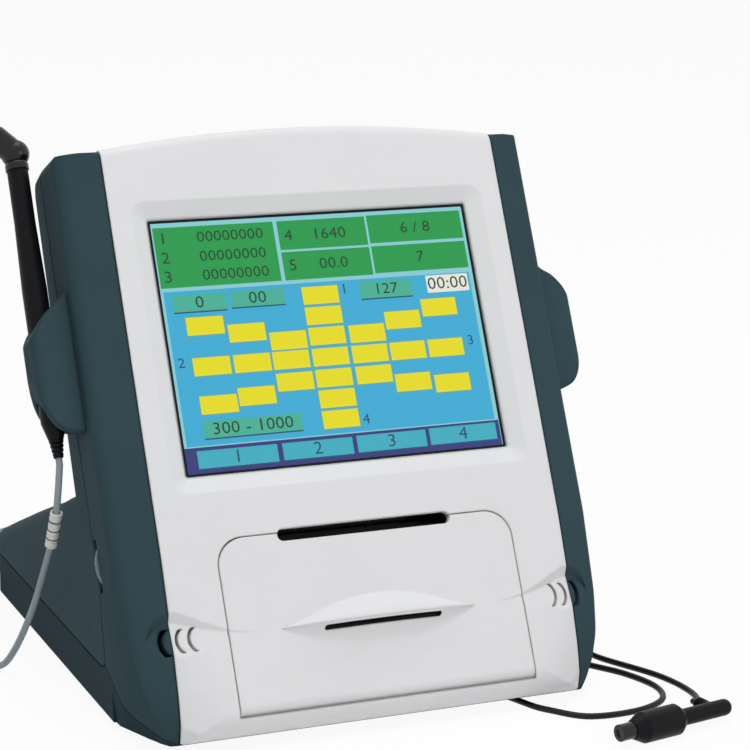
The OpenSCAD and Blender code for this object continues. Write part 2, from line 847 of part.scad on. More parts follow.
speaker_dia = 12;
speaker_t = 6;
module speaker(way) {
  color(black) on_face(way * (panel_half - wall - speaker_dia / 2), scoop_at, scoop_deep + scoop_wall + speaker_t) difference() {
    cylinder(d = speaker_dia, h = speaker_t);
    translate([0, 0, speaker_t - seam_w]) cylinder(d = speaker_dia / 4, h = past);
  }
}
module left_speaker() { speaker(-1); }
module right_speaker() { speaker(1); }

// Contrast wheel in its slot on the seam, turning on the control behind it
wheel_shaft_dia = 3;
knurls = 40;
knurl_dia = 0.8;
module contrast_wheel() {
  color("#6F858E") on_face(-half_w + wheel_r - wheel_out, wheel_at, seam_d - wheel_play) difference() {
    cylinder(r = wheel_r, h = wheel_t, $fn = 96);
    for (i = [0:knurls - 1]) rotate([0, 0, i * 360 / knurls]) translate([wheel_r + knurl_dia / 4, 0, -past])
      cylinder(d = knurl_dia, h = wheel_t + 2 * past, $fn = 6);
    translate([0, 0, -past]) cylinder(d = wheel_shaft_dia + 2 * bore_play, h = wheel_t + 2 * past);
  }
}

pot_w = 11;
pot_t = 5;
module contrast_pot() {
  color(black) on_face(-half_w + wheel_r - wheel_out, wheel_at, seam_d + pot_t) {
    translate([-pot_w / 2, -pot_w / 2, 0]) cube([pot_w, pot_w, pot_t]);
    cylinder(d = wheel_shaft_dia, h = pot_t + wheel_t + 2 * wheel_play);
    // Bracket to the side wall
    translate([-wheel_r + wheel_out + wall, -pot_w / 2, 0]) cube([wheel_r - wheel_out - wall, pot_w, chassis_t]);
  }
}

// Paper door with its rolled lower edge, pull lip and roller arms
arm_t = 3;
arm_x = 33;
platen_at = 63;
platen_d = 10;
arm_high = platen_at + platen_dia / 3;
lip_at = 38.5;
lip_top = 8.4;
lip_low = 9.9;
lip_steps = 18;
slit_w = 42;
slit_h = 1.5;
slit_below = 1;

// The lip's section across the door, at a share u of its half width
function lip_ring(u) =
  let (
    b = max(0, 1 - u * u),
    top = lip_top * pow(b, 1.4) + slit_h / 20,
    low = lip_low * pow(b, 0.95) + slit_h / 20,
    out = lip_out * pow(b, 0.85) + slit_h / 20,
    x = u * lip_w / 2
  )
  [
    [x, -low, -wall / 2],
    [x, -low, 0],
    [x, -low * 0.62, out * 0.2],
    [x, -low * 0.32, out * 0.52],
    [x, -low * 0.14, out * 0.82],
    [x, 0, out],
    [x, top * 0.16, out * 0.97],
    [x, top * 0.42, out * 0.76],
    [x, top * 0.72, out * 0.4],
    [x, top, 0],
    [x, top, -wall / 2]
  ];

module pull_lip() {
  on_face(0, lip_at) loft([for (i = [0:lip_steps]) lip_ring(1 - 2 * i / lip_steps)]);
}

module lip_slit() {
  on_face(0, lip_at - slit_below - slit_h / 2, -wall / 2) linear_extrude(lip_out) hull() {
    for (x = [-1, 1]) translate([x * (slit_w - slit_h) / 2, 0]) circle(d = slit_h);
  }
}

module door_arms() {
  for (x = [-1, 1]) {
    x0 = x > 0 ? arm_x : -arm_x - arm_t;
    face_block([x0, platen_at - platen_dia, wall / 2], [x0 + arm_t, platen_at, platen_d]);
    cross_pin(x0, x0 + arm_t, platen_at, platen_d, shaft_dia + 2 * arm_t);
  }
}
shaft_dia = 3;

module printer_door() {
  color(pale) difference() {
    union() {
      on_face(0, 0, wall) linear_extrude(wall) difference() {
        door_shape(0);
        translate([-door_w, -far]) square([2 * door_w, far + hinge_at]);
      }
      intersection() {
        cross_pin(-door_w / 2, door_w / 2, hinge_at, hinge_r, 2 * hinge_r);
        face_block([-door_w, 0, -past], [door_w, door_top, 2 * hinge_r]);
      }
      // Ribs that stiffen the inside
      for (h = [0.4, 0.62]) face_block([-door_w / 2 + 2 * wall, door_top * h, wall / 2],
        [door_w / 2 - 2 * wall, door_top * h + wall / 2, wall + wall / 2]);
      pull_lip();
      door_arms();
    }
    lip_slit();
    paper_slot();
    for (way = [-1, 1]) scoop(way);
    cross_pin(-half_w, half_w, hinge_at, hinge_r, pin_dia + 2 * bore_play);
    cross_pin(-half_w, half_w, platen_at, platen_d, shaft_dia + 2 * bore_play);
  }
}

pin_len = 12;
module door_hinge_pins() {
  color(steel) for (x = [-1, 1]) {
    x0 = x > 0 ? door_w / 2 + door_gap + boss_w - pin_len : -door_w / 2 - door_gap - boss_w;
    cross_pin(x0, x0 + pin_len, hinge_at, hinge_r, pin_dia);
  }
}

// Feed roller and its gears
platen_len = 58;
gear_x = 37;
gear_t = 3;
gear_module = 0.5;
platen_teeth = 24;
idler_teeth = 30;
pinion_teeth = 12;
gear_play = 0.15;
motor_at = 80;
motor_d = 22;

module platen_roller() {
  color("#2A2A2C") cross_pin(-platen_len / 2, platen_len / 2, platen_at, platen_d, platen_dia);
  color(steel) cross_pin(-arm_x - arm_t - wall, gear_x + gear_t, platen_at, platen_d, shaft_dia);
}

// A spur gear's outline: trapezoid teeth on the root circle
function gear_outline(teeth, m) = [
  for (i = [0:teeth - 1]) each [
    for (s = [[-0.34, -1.2], [-0.14, 0.95], [0.14, 0.95], [0.34, -1.2]])
      let (a = (i + s[0]) * 360 / teeth, r = m * teeth / 2 + s[1] * m)
        [r * cos(a), r * sin(a)]
  ]
];

module gear(teeth, turn, bore) {
  difference() {
    rotate([0, 0, turn]) linear_extrude(gear_t) polygon(gear_outline(teeth, gear_module));
    if (bore > 0) translate([0, 0, -past]) cylinder(d = bore, h = gear_t + 2 * past);
  }
}

module on_gear_axis(h, d) {
  p = side(h, d);
  translate([gear_x, p[0], p[1]]) rotate([0, 90, 0]) children();
}

// The idler stands where it meshes with both the roller's gear and the motor's pinion
idler_place = let (
  a = gear_module * (platen_teeth + idler_teeth) / 2 + gear_play,
  b = gear_module * (pinion_teeth + idler_teeth) / 2 + gear_play,
  from = [platen_at, platen_d],
  to = [motor_at, motor_d],
  c = norm(to - from),
  along = (a * a - b * b + c * c) / (2 * c),
  off = sqrt(max(0, a * a - along * along)),
  u = (to - from) / c
) from + u * along - turn_left(u) * off;

// Direction on a gear's face from one place on the side view to another
function mesh_angle(from, to) =
  let (p = side(from[0], from[1]), q = side(to[0], to[1]), v = q - p)
  atan2(v[0], -v[1]);

module platen_gear() {
  turn = mesh_angle([platen_at, platen_d], idler_place);
  color("#E6E6E0") on_gear_axis(platen_at, platen_d) gear(platen_teeth, turn, shaft_dia);
}

module idler_gear() {
  turn = mesh_angle(idler_place, [platen_at, platen_d]) + 180 / idler_teeth;
  color("#E6E6E0") on_gear_axis(idler_place[0], idler_place[1]) gear(idler_teeth, turn, shaft_dia + 2 * bore_play);
}

module motor_pinion() {
  turn = mesh_angle([motor_at, motor_d], idler_place)
    + 360 / pinion_teeth * (idler_teeth * (mesh_angle(idler_place, [motor_at, motor_d])
      - mesh_angle(idler_place, [platen_at, platen_d])) / 360 - floor(idler_teeth
      * (mesh_angle(idler_place, [motor_at, motor_d]) - mesh_angle(idler_place, [platen_at, platen_d])) / 360)) ;
  color("#C9A24B") on_gear_axis(motor_at, motor_d) gear(pinion_teeth, turn, motor_shaft_dia + 2 * bore_play);
}
motor_shaft_dia = 1.5;
motor_dia = 15;
motor_t = 12;

module idler_pin() {
  color(steel) cross_pin(frame_x, gear_x + gear_t + seam_w, idler_place[0], idler_place[1], shaft_dia);
}

module feed_motor() {
  color(steel) {
    cross_pin(frame_x - motor_t, frame_x, motor_at, motor_d, motor_dia);
    cross_pin(frame_x, gear_x + gear_t, motor_at, motor_d, motor_shaft_dia);
  }
}

// Printer frame: two side plates on the base, a tie bar at the back
frame_x = 31;
frame_t = 1.2;
roll_at = 42;
roll_d = 26;
spindle_dia = 6;
frame_front = 13.6;
function frame_side() = [
  [body_d * 0.125, wall],
  [body_d * 0.36, wall],
  side(motor_at * 0.75, slab_waist_d * 1.2),
  side(motor_at + motor_dia * 0.75, motor_d + motor_dia * 0.76),
  side(motor_at + motor_dia * 0.75, frame_front),
  side(motor_at + motor_dia * 0.2, head_front),
  side(motor_at - motor_dia * 0.4, head_front),
  side(platen_at + platen_dia * 0.6, frame_front),
  side(roll_at * 0.6, frame_front)
];

module printer_frame() {
  color(steel) difference() {
    union() {
      for (x = [-1, 1]) translate([x * (frame_x + frame_t / 2), 0, 0]) side_prism(frame_side(), frame_t);
      face_block([-frame_x - frame_t, motor_at + motor_dia * 0.6, motor_d + motor_dia * 0.6],
        [frame_x + frame_t, motor_at + motor_dia * 0.75, motor_d + motor_dia * 0.76]);
    }
    cross_pin(-half_w, half_w, roll_at, roll_d, spindle_dia + 2 * bore_play);
    cross_pin(0, half_w, motor_at, motor_d, motor_shaft_dia + 2 * bore_play);
    cross_pin(0, half_w, idler_place[0], idler_place[1], shaft_dia);
  }
}

head_clear = 0.45;
head_t = 2.5;
head_front = 8;
module print_head() {
  low = platen_at + platen_dia / 2 + head_clear;
  color(black) difference() {
    union() {
      face_block([-frame_x, low, head_front], [frame_x, low + head_t, motor_d - motor_dia / 2 - slack]);
      // Cooling fins on the head's back
      for (i = [0:3]) face_block([-frame_x, low + head_t * (1 + i / 2), head_front + head_t],
        [frame_x - motor_t - slack, low + head_t * (1 + i / 2) + head_t / 4, motor_d - motor_dia / 2]);
      face_block([-frame_x, low + head_t / 2, head_front], [frame_x - motor_t - slack, low + head_t * 3, head_front + head_t]);
    }
    paper_slot();
  }
}

core_t = 1.5;
core_dia = 12;
module paper_spindle() {
  color("#E6E6E0") {
    cross_pin(-frame_x - frame_t, frame_x + frame_t, roll_at, roll_d, spindle_dia);
    cross_pin(-paper_w / 2, paper_w / 2, roll_at, roll_d, core_dia - 2 * core_t);
  }
}

module tube_x(len, outer, inner) {
  difference() {
    cross_pin(-len / 2, len / 2, roll_at, roll_d, outer);
    cross_pin(-len / 2 - past, len / 2 + past, roll_at, roll_d, inner);
  }
}
module paper_core() { color("#B79B72") tube_x(paper_w, core_dia, core_dia - 2 * core_t); }
module paper_roll() { color("#F4F4F0") tube_x(paper_w, roll_dia, core_dia); }

cradle_t = 1.2;
cradle_play = 1;
module paper_cradle() {
  color(black) intersection() {
    difference() {
      cross_pin(-frame_x, frame_x, roll_at, roll_d, roll_dia + 2 * cradle_play + 2 * cradle_t);
      cross_pin(-half_w, half_w, roll_at, roll_d, roll_dia + 2 * cradle_play);
    }
    face_block([-frame_x, 0, frame_front], [frame_x, roll_at, far / 2]);
  }
}

// Sockets and switch on the plate in the rear recess
port_z = 14;
port_dia = 12;
port_len = 10;
port_flange = 1.2;
pen_port_x = -38;
scan_port_x = 38;
jack_x = 4;
rocker_x = 20;
data_x = -15;
data_w = 17;
data_h = 9;
rocker_w = 13;
rocker_h = 9;
rocker_out = 1.6;
jack_dia = 8;
jack_bore = 5.5;
jack_pin = 2;

module rear_plate() {
  color(steel) difference() {
    translate([-bay_w / 2, bay_y() - plate_t, wall]) cube([bay_w, plate_t, plate_top() - wall]);
    for (x = [pen_port_x, scan_port_x]) port_cut(x, port_dia);
    port_cut(jack_x, jack_dia);
    box_cut(rocker_x, rocker_w, rocker_h);
    box_cut(data_x, data_w, data_h);
  }
}
module port_cut(x, dia) {
  translate([x, bay_y() + past, port_z]) rotate([90, 0, 0]) cylinder(d = dia, h = plate_t + 2 * past);
}
module box_cut(x, w, h) {
  translate([x - w / 2, bay_y() - plate_t - past, port_z - h / 2]) cube([w, plate_t + 2 * past, h]);
}

plug_core_dia = 6;
module probe_port(x) {
  color(steel) translate([x, bay_y(), port_z]) rotate([-90, 0, 0]) difference() {
    union() {
      translate([0, 0, -port_len]) cylinder(d = port_dia, h = port_len);
      cylinder(d = port_dia + 2 * port_flange, h = port_flange);
    }
    translate([0, 0, port_flange - socket_deep]) cylinder(d = plug_core_dia + 2 * bore_play, h = socket_deep + past);
  }
}
socket_deep = 7;
module pen_socket() { probe_port(pen_port_x); }
module scan_socket() { probe_port(scan_port_x); }

module power_jack() {
  color(black) translate([jack_x, bay_y(), port_z]) rotate([-90, 0, 0]) {
    difference() {
      union() {
        translate([0, 0, -port_len]) cylinder(d = jack_dia, h = port_len);
        cylinder(d = jack_dia + 2 * port_flange, h = port_flange);
      }
      translate([0, 0, port_flange - socket_deep]) cylinder(d = jack_bore, h = socket_deep + past);
    }
    translate([0, 0, port_flange - socket_deep]) cylinder(d = jack_pin, h = socket_deep - port_flange);
  }
}

module data_port() {
  color(steel) translate([data_x, bay_y(), port_z]) {
    difference() {
      translate([-data_w / 2, -port_len, -data_h / 2]) cube([data_w, port_len + 2 * port_flange, data_h]);
      translate([-data_w / 2 + port_flange, -port_flange, -data_h / 2 + port_flange])
        cube([data_w - 2 * port_flange, far, data_h - 2 * port_flange]);
    }
    for (i = [-2:2]) translate([i * data_w / 8, -port_flange, data_h / 8]) rotate([-90, 0, 0])
      cylinder(d = port_flange / 2, h = 2 * port_flange);
    for (i = [-1.5:1.5]) translate([i * data_w / 8, -port_flange, -data_h / 8]) rotate([-90, 0, 0])
      cylinder(d = port_flange / 2, h = 2 * port_flange);
  }
}

rocker_wall = 1;
rocker_pin_dia = 1.5;
rocker_angle = 6;
module rocker_frame() {
  color(black) translate([rocker_x, bay_y(), port_z]) difference() {
    union() {
      translate([-rocker_w / 2, -port_len, -rocker_h / 2]) cube([rocker_w, port_len, rocker_h]);
      translate([-rocker_w / 2 - port_flange, 0, -rocker_h / 2 - port_flange])
        cube([rocker_w + 2 * port_flange, port_flange, rocker_h + 2 * port_flange]);
    }
    translate([-rocker_w / 2 + rocker_wall, -port_len + rocker_wall, -rocker_h / 2 + rocker_wall])
      cube([rocker_w - 2 * rocker_wall, far, rocker_h - 2 * rocker_wall]);
    translate([0, 0, -rocker_h / 2 + rocker_wall / 2]) cylinder(d = rocker_pin_dia + 2 * bore_play, h = rocker_h - rocker_wall);
  }
}

// Two slopes that meet over the pin, with one side pressed in
module power_rocker() {
  half = rocker_w / 2 - rocker_wall - slack;
  rise = half * tan(rocker_angle);
  color("#202124") translate([rocker_x, bay_y(), port_z]) rotate([0, 0, rocker_angle]) {
    translate([0, 0, -rocker_h / 2 + rocker_wall + slack]) linear_extrude(rocker_h - 2 * rocker_wall - 2 * slack)
      polygon([[-half, 0], [-half + slack, -rocker_out], [half - slack, -rocker_out], [half, 0],
        [half - slack / 2, port_flange + rise], [0, port_flange], [-half + slack / 2, port_flange + rise]]);
    translate([0, 0, -rocker_h / 2 + rocker_wall / 2]) cylinder(d = rocker_pin_dia, h = rocker_h - rocker_wall);
  }
}

// Pachymeter probe in the left holder: places along its own axis, from the tail's end
pen_x = half_w + holder_axis_out;
pen_tail_at = 106.6;
tail_len = 6;
tail_dia = 5;
tail_thin = 3.3;
collar_len = 6;
collar_dia = 8;
collar_neck = 7.2;
head_dia = 8.7;
knob_dia = 9.8;
head_len = 9;
head_bend = 45;
cone_len = 8;
tip_dia = 2.4;
tip_len = 2.5;

module on_pen(at) {
  on_face(-pen_x, pen_tail_at + at, holder_axis_d) rotate([-90, 0, 0]) children();
}

module pen_tail() {
  color(black) on_pen(0) difference() {
    cylinder(d1 = tail_thin, d2 = tail_dia, h = tail_len);
    for (i = [1:3]) translate([0, 0, i * tail_len / 4]) difference() {
      cylinder(d = 2 * tail_dia, h = seam_w);
      translate([0, 0, -past]) cylinder(d = tail_thin - seam_w / 2, h = seam_w + 2 * past);
    }
  }
}
module pen_barrel() {
  color(black) on_pen(tail_len) rotate_extrude() polygon(rounded(
    [[0, 0], [tail_dia / 2, 0], [pen_dia / 2, tail_len], [pen_dia / 2, pen_len * 0.55], [collar_neck / 2, pen_len * 0.8],
      [collar_neck / 2, pen_len], [0, pen_len]],
    [0, 0, tail_len / 3, far / 5, far / 5, 0, 0], 4));
}
module pen_collar() {
  color(black) on_pen(tail_len + pen_len) {
    cylinder(d = collar_dia, h = collar_len / 3);
    translate([0, 0, collar_len / 3]) cylinder(d1 = collar_dia, d2 = collar_neck, h = collar_len / 6);
    cylinder(d = collar_neck, h = collar_len);
  }
}
module on_head(at) {
  on_pen(tail_len + pen_len + collar_len) rotate([0, -head_bend, 0]) translate([0, 0, at]) children();
}
module pen_head() {
  color(black) difference() {
    union() {
      on_head(0) cylinder(d = head_dia, h = head_len);
      on_pen(tail_len + pen_len + collar_len) sphere(d = knob_dia);
    }
    pen_collar();
    on_pen(0) cylinder(d = 2 * knob_dia, h = tail_len + pen_len + collar_len / 2);
  }
}
module pen_tip() {
  color("#3A3B3E") on_head(head_len) {
    cylinder(d1 = head_dia, d2 = tip_dia, h = cone_len);
    translate([0, 0, cone_len]) cylinder(d = tip_dia, h = tip_len);
    translate([0, 0, cone_len + tip_len]) sphere(d = tip_dia);
  }
}

// Biometry probe lying on the table in front, on its body
scan_place = [65, -31.5];
scan_turn = 10.6;
scan_tip_dia = 5.7;
scan_tip_len = 5.4;
scan_cone_len = 4.4;
scan_body_len = 14.2;
scan_back_len = 3;
handle_dia = 5.7;
relief_at = 40;
relief_dia = 3.6;
relief_len = 4.4;
scan_z = scan_dia / 2 - foot_h;

module on_scan(at) {
  translate([scan_place[0], scan_place[1], scan_z]) rotate([0, 90, scan_turn]) translate([0, 0, at]) children();
}
module scan_tip() {
  color(black) on_scan(0) difference() {
    cylinder(d = scan_tip_dia, h = scan_tip_len);
    translate([0, 0, -past]) cylinder(d = scan_tip_dia / 2, h = past + seam_w);
  }
}
module scan_body() {
  color(black) on_scan(scan_tip_len) {
    cylinder(d1 = scan_tip_dia + seam_w, d2 = scan_dia, h = scan_cone_len);
    translate([0, 0, scan_cone_len]) cylinder(d = scan_dia, h = scan_body_len);
    translate([0, 0, scan_cone_len + scan_body_len]) cylinder(d1 = scan_dia, d2 = handle_dia + seam_w, h = scan_back_len);
  }
}
handle_at = scan_tip_len + scan_cone_len + scan_body_len + scan_back_len;
module scan_handle() {
  color(black) {
    on_scan(handle_at) cylinder(d = handle_dia, h = scan_len - handle_dia / 2 - handle_at);
    on_scan(scan_len - handle_dia / 2) sphere(d = handle_dia);
  }
}
module scan_relief() {
  color(black) difference() {
    on_scan(relief_at) rotate([-90, 0, 0]) cylinder(d1 = handle_dia - seam_w, d2 = relief_dia, h = handle_dia / 2 + relief_len);
    scan_handle();
  }
}
function scan_point(along, out) = [
  scan_place[0] + along * cos(scan_turn) - out * sin(scan_turn),
  scan_place[1] + along * sin(scan_turn) + out * cos(scan_turn),
  scan_z
];

// Leads: a round tube along a route
function curve(pts, steps) = [
  for (i = [0:len(pts) - 2])
    let (
      a = pts[max(0, i - 1)],
      b = pts[i],
      c = pts[i + 1],
      d = pts[min(len(pts) - 1, i + 2)]
    )
    each [for (k = [0:steps - 1]) let (u = k / steps)
      ((2 * b) + (c - a) * u + (2 * a - 5 * b + 4 * c - d) * u * u + (3 * b - a - 3 * c + d) * u * u * u) / 2],
  pts[len(pts) - 1]
];

function ways(pts) = [
  for (i = [0:len(pts) - 1]) unit(pts[min(len(pts) - 1, i + 1)] - pts[max(0, i - 1)])
];

module tube(pts, dia, sides) {
  t = ways(pts);
  first = unit(cross(t[0], abs(t[0][2]) > 0.9 ? [1, 0, 0] : [0, 0, 1]));
  across = [
    for (i = 0, n = first; i < len(t); i = i + 1, n = i < len(t) ? unit(n - (n * t[i]) * t[i]) : n) n
  ];
  loft([for (i = [0:len(pts) - 1]) let (n = across[i], b = cross(t[i], n))
    [for (k = [0:sides - 1]) pts[i] + (n * cos(360 * k / sides) + b * sin(360 * k / sides)) * dia / 2]]);
}

function path_length(pts) = len(pts) < 2 ? 0 : sum_steps(pts, 0, 0);
function sum_steps(pts, i, total) = i >= len(pts) - 1 ? total : sum_steps(pts, i + 1, total + norm(pts[i + 1] - pts[i]));

// Coils: four layers that spiral in and out, climbing in the half turn at each reversal
layers = 4;
coil_dia_share = 12;
coil_gap = 0.45;
tie_t = 0.8;
loop_rings = 24;

function ease(x) = let (u = max(0, min(1, x))) u * u * (3 - 2 * u);

function coil_height(s, per) =
  let (k = round(s / per), near = s / per * per - k * per)
  k <= 0 || k >= layers ? (k <= 0 ? 0 : layers - 1) : k - 1 + ease(near * 2 + 0.5);

function coil_reach(s, per) =
  let (k = min(layers - 1, floor(s / per)), u = s - k * per)
  k % 2 == 0 ? per - u : u;

function coil_points(centre, dia, turns, way) =
  let (per = turns / layers, step = dia + coil_gap, inner = coil_dia_share * dia / 2 - per * step / 2)
  [
    for (i = [0:turns * loop_rings])
      let (
        s = i / loop_rings,
        r = inner + step * coil_reach(s, per),
        a = 180 - 360 * s
      )
      [centre[0] + way * r * cos(a), centre[1] + r * sin(a), centre[2] + step * coil_height(s, per)]
  ];

// Straight ends of one diameter, along the coil's own direction
function with_ends(pts, dia) =
  let (n = len(pts), a = unit(pts[0] - pts[1]), b = unit(pts[n - 1] - pts[n - 2]))
  concat([pts[0] + a * dia], pts, [pts[n - 1] + b * dia]);

pen_turns = 13.25;
scan_turns = 11.25;
coil_x = 62;
coil_y = 215;
// A six sided tube lies on a flat side
function lying(dia) = dia / 2 * cos(180 / 6);
pen_coil_centre = [-coil_x, coil_y, lying(pen_cord_dia) + tie_t - foot_h];
scan_coil_centre = [coil_x, coil_y, lying(scan_cord_dia) + tie_t - foot_h];
pen_coil_points = with_ends(coil_points(pen_coil_centre, pen_cord_dia, pen_turns, 1), pen_cord_dia);
scan_coil_points = with_ends(coil_points(scan_coil_centre, scan_cord_dia, scan_turns, -1), scan_cord_dia);

// Routes between the object and the coils: points chosen along the way that each lead lies
pen_tail_end = let (p = side(pen_tail_at, holder_axis_d)) [-pen_x, p[0], p[1]];
pen_down = [0, -sin(face_tilt), -cos(face_tilt)];
pen_route = [
  [-96, 66, 72],
  [-97, 67, 60],
  [-98, 74, 46],
  [-100, 84, 27],
  [-103, 97, 8],
  [-106, 107, -1],
  [-110, 122, -1.8],
  [-110, 150, -1.8],
  [-104, 178, -1.8],
  [-90, 196, -1.8]
];
scan_route = [
  [105, -14, 1],
  [109, -8, -1],
  [112, 4, -1.9],
  [109, 21, -1.9],
  [98, 44, -1.9],
  [96, 57, -1.9],
  [90, 63, -1.9],
  [84, 57, -1.9],
  [85, 47, -1.9],
  [92, 37, -1.9],
  [99, 26, -1.9],
  [103, 12, -1.9],
  [100, 1, -1.9],
  [91, -5, -1.9],
  [79, -7, -1.9],
  [67, -5, -1.9],
  [59, 3, -1.9],
  [53, 13, -1.9],
  [46, 40, -1.9],
  [46, 100, -1.9],
  [49, 160, -1.9],
  [60, 186, -1.9],
  [74, 202, -1.9]
];
pen_back_route = [[-46, 231, 8], [-39, 222, 11]];
scan_back_route = [[47, 230, 8], [39, 222, 11]];
plug_len = 18;
plug_dia = 9;
boot_dia = 5;
boot_len = 9;
plug_out = port_flange;

function plug_end(x) = [x, bay_y() + plug_out + plug_len + boot_len, port_z];

pen_lead_points = concat(
  [pen_tail_end],
  curve(concat([pen_tail_end + pen_down * pen_cord_dia], pen_route,
    [pen_coil_points[0] + unit(pen_coil_points[0] - pen_coil_points[1]) * pen_cord_dia]), 2),
  [pen_coil_points[0]]
);
pen_end_points = lead_end(pen_coil_points, pen_back_route, pen_port_x, pen_cord_dia);
scan_end_points = lead_end(scan_coil_points, scan_back_route, scan_port_x, scan_cord_dia);
function lead_end(coil, route, x, dia) =
  let (n = len(coil), out = unit(coil[n - 1] - coil[n - 2]), last = plug_end(x))
  concat(
    [coil[n - 1]],
    curve(concat([coil[n - 1] + out * dia], route, [last + [0, dia, 0]]), 3),
    [last]
  );
scan_lead_start = scan_point(relief_at, handle_dia / 2 + relief_len);
scan_lead_points = concat(
  [scan_lead_start],
  curve(concat([scan_point(relief_at, handle_dia / 2 + relief_len + scan_cord_dia)], scan_route,
    [scan_coil_points[0] + unit(scan_coil_points[0] - scan_coil_points[1]) * scan_cord_dia]), 2),
  [scan_coil_points[0]]
);

module pen_lead() { color("#8F9BA3") tube(pen_lead_points, pen_cord_dia, 8); }
module pen_coil() { color("#8F9BA3") tube(pen_coil_points, pen_cord_dia, 6); }
module pen_lead_end() { color("#8F9BA3") tube(pen_end_points, pen_cord_dia, 8); }
module scan_lead() { color(black) tube(scan_lead_points, scan_cord_dia, 8); }
module scan_coil() { color(black) tube(scan_coil_points, scan_cord_dia, 6); }
module scan_lead_end() { color(black) tube(scan_end_points, scan_cord_dia, 8); }

// Ties round the coils' bundles
tie_w = 5;
module coil_tie(centre, dia, turns, way) {
  per = turns / layers;
  step = dia + coil_gap;
  mid = coil_dia_share * dia / 2;
  wide = per * step + dia + 2 * slack;
  high = (layers - 1) * step + dia + slack;
  color(black) translate([centre[0], centre[1], centre[2] - lying(dia) - tie_t]) rotate([0, 0, way > 0 ? 300 : 240])
    translate([mid, tie_w / 2, 0]) rotate([90, 0, 0]) linear_extrude(tie_w) difference() {
      translate([-wide / 2 - tie_t, 0]) square([wide + 2 * tie_t, high + 2 * tie_t]);
      translate([-wide / 2, tie_t]) square([wide, high]);
    }
}
module pen_tie() { coil_tie(pen_coil_centre, pen_cord_dia, pen_turns, 1); }
module scan_tie() { coil_tie(scan_coil_centre, scan_cord_dia, scan_turns, -1); }

module lead_plug(x, dia) {
  color(black) translate([x, bay_y() + plug_out, port_z]) rotate([-90, 0, 0]) {
    translate([0, 0, -socket_deep + slack]) cylinder(d = plug_core_dia, h = socket_deep);
    rotate_extrude() polygon(rounded([[0, 0], [plug_dia / 2, 0], [plug_dia / 2, plug_len * 0.8],
      [boot_dia / 2, plug_len], [dia / 2 + slack, plug_len + boot_len], [0, plug_len + boot_len]],
      [0, seam_w, plug_dia / 6, plug_dia / 6, 0, 0], 4));
  }
}
module pen_plug() { lead_plug(pen_port_x, pen_cord_dia); }
module scan_plug() { lead_plug(scan_port_x, scan_cord_dia); }

// Ribbed marker sleeve on the pachymeter's lead, between two of its points
marker_dia = 4;
marker_from = 4;
marker_to = 6;
module pen_marker() {
  a = pen_lead_points[marker_from];
  b = pen_lead_points[marker_to];
  v = b - a;
  color("#D8DBDD") translate(a) rotate([0, acos(v[2] / norm(v)), atan2(v[1], v[0])]) difference() {
    cylinder(d = marker_dia, h = norm(v));
    translate([0, 0, -past]) cylinder(d = pen_cord_dia + 2 * slack, h = norm(v) + 2 * past);
  }
}

// The object's box without the leads gives the origin, in the middle of its underside
head_end = head_len + cone_len + tip_len;
left_end = -pen_x - head_end * sin(head_bend) - tip_dia / 2;
right_end = scan_place[0] + (scan_len - handle_dia / 2) * cos(scan_turn) + handle_dia / 2;
front_end = scan_place[1] + (scan_tip_len + scan_cone_len) * sin(scan_turn) - scan_dia / 2 * cos(scan_turn);
shift = [-(left_end + right_end) / 2, -(front_end + body_d) / 2, foot_h];
echo(shift = shift);
echo(pen_lead_mm = path_length(pen_lead_points), pen_coil_mm = path_length(pen_coil_points),
  pen_end_mm = path_length(pen_end_points));
echo(scan_lead_mm = path_length(scan_lead_points), scan_coil_mm = path_length(scan_coil_points),
  scan_end_mm = path_length(scan_end_points));

// Least gap of a coil to itself, on points at least half a turn apart
function coil_self_gap(pts, dia) = min([
  for (i = [0:len(pts) - 1 - loop_rings / 2])
    min([for (j = [i + loop_rings / 2:len(pts) - 1]) norm(pts[j] - pts[i])])
]) - dia;
echo(pen_coil_gap = coil_self_gap(pen_coil_points, pen_cord_dia), scan_coil_gap = coil_self_gap(scan_coil_points, scan_cord_dia));

module place() { translate(shift) children(); }

place() front_bezel();
place() front_housing();
place() rear_cover();
place() base_pan();
place() left_holder();
place() right_holder();
place() feet();
place() case_screws();
place() screen_gasket();
place() touch_panel();
place() lcd_module();
place() chassis_plate();
place() mainboard();
place() pulser_board();
place() power_board();
place() left_speaker();
place() right_speaker();
place() contrast_wheel();
place() contrast_pot();
place() printer_door();
place() door_hinge_pins();
place() platen_roller();
place() platen_gear();
place() printer_frame();
place() print_head();
place() feed_motor();
place() motor_pinion();
place() idler_gear();
place() idler_pin();
place() paper_cradle();
place() paper_spindle();
place() paper_core();
place() paper_roll();
place() rear_plate();
place() power_rocker();
place() rocker_frame();
place() power_jack();
place() data_port();
place() pen_socket();
place() scan_socket();
place() pen_barrel();
place() pen_collar();
place() pen_head();
place() pen_tip();
place() pen_tail();
place() scan_body();
place() scan_tip();
place() scan_handle();
place() scan_relief();
place() pen_lead();
place() pen_coil();
place() pen_lead_end();
place() pen_tie();
place() pen_plug();
place() pen_marker();
place() scan_lead();
place() scan_coil();
place() scan_lead_end();
place() scan_tie();
place() scan_plug();
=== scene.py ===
# %% [markdown]
# This lesson dresses a table-top ultrasound scanner for the eye. The CAD model brings the shells, the
# printer, the boards and the probes, all in one frame in metres. Blender adds the camera, the light, the
# finishes, the picture on the screen, the small ribs and the smooth leads.

# %% Load the frame
import math
import bpy
import bmesh
from mathutils import Matrix, Vector


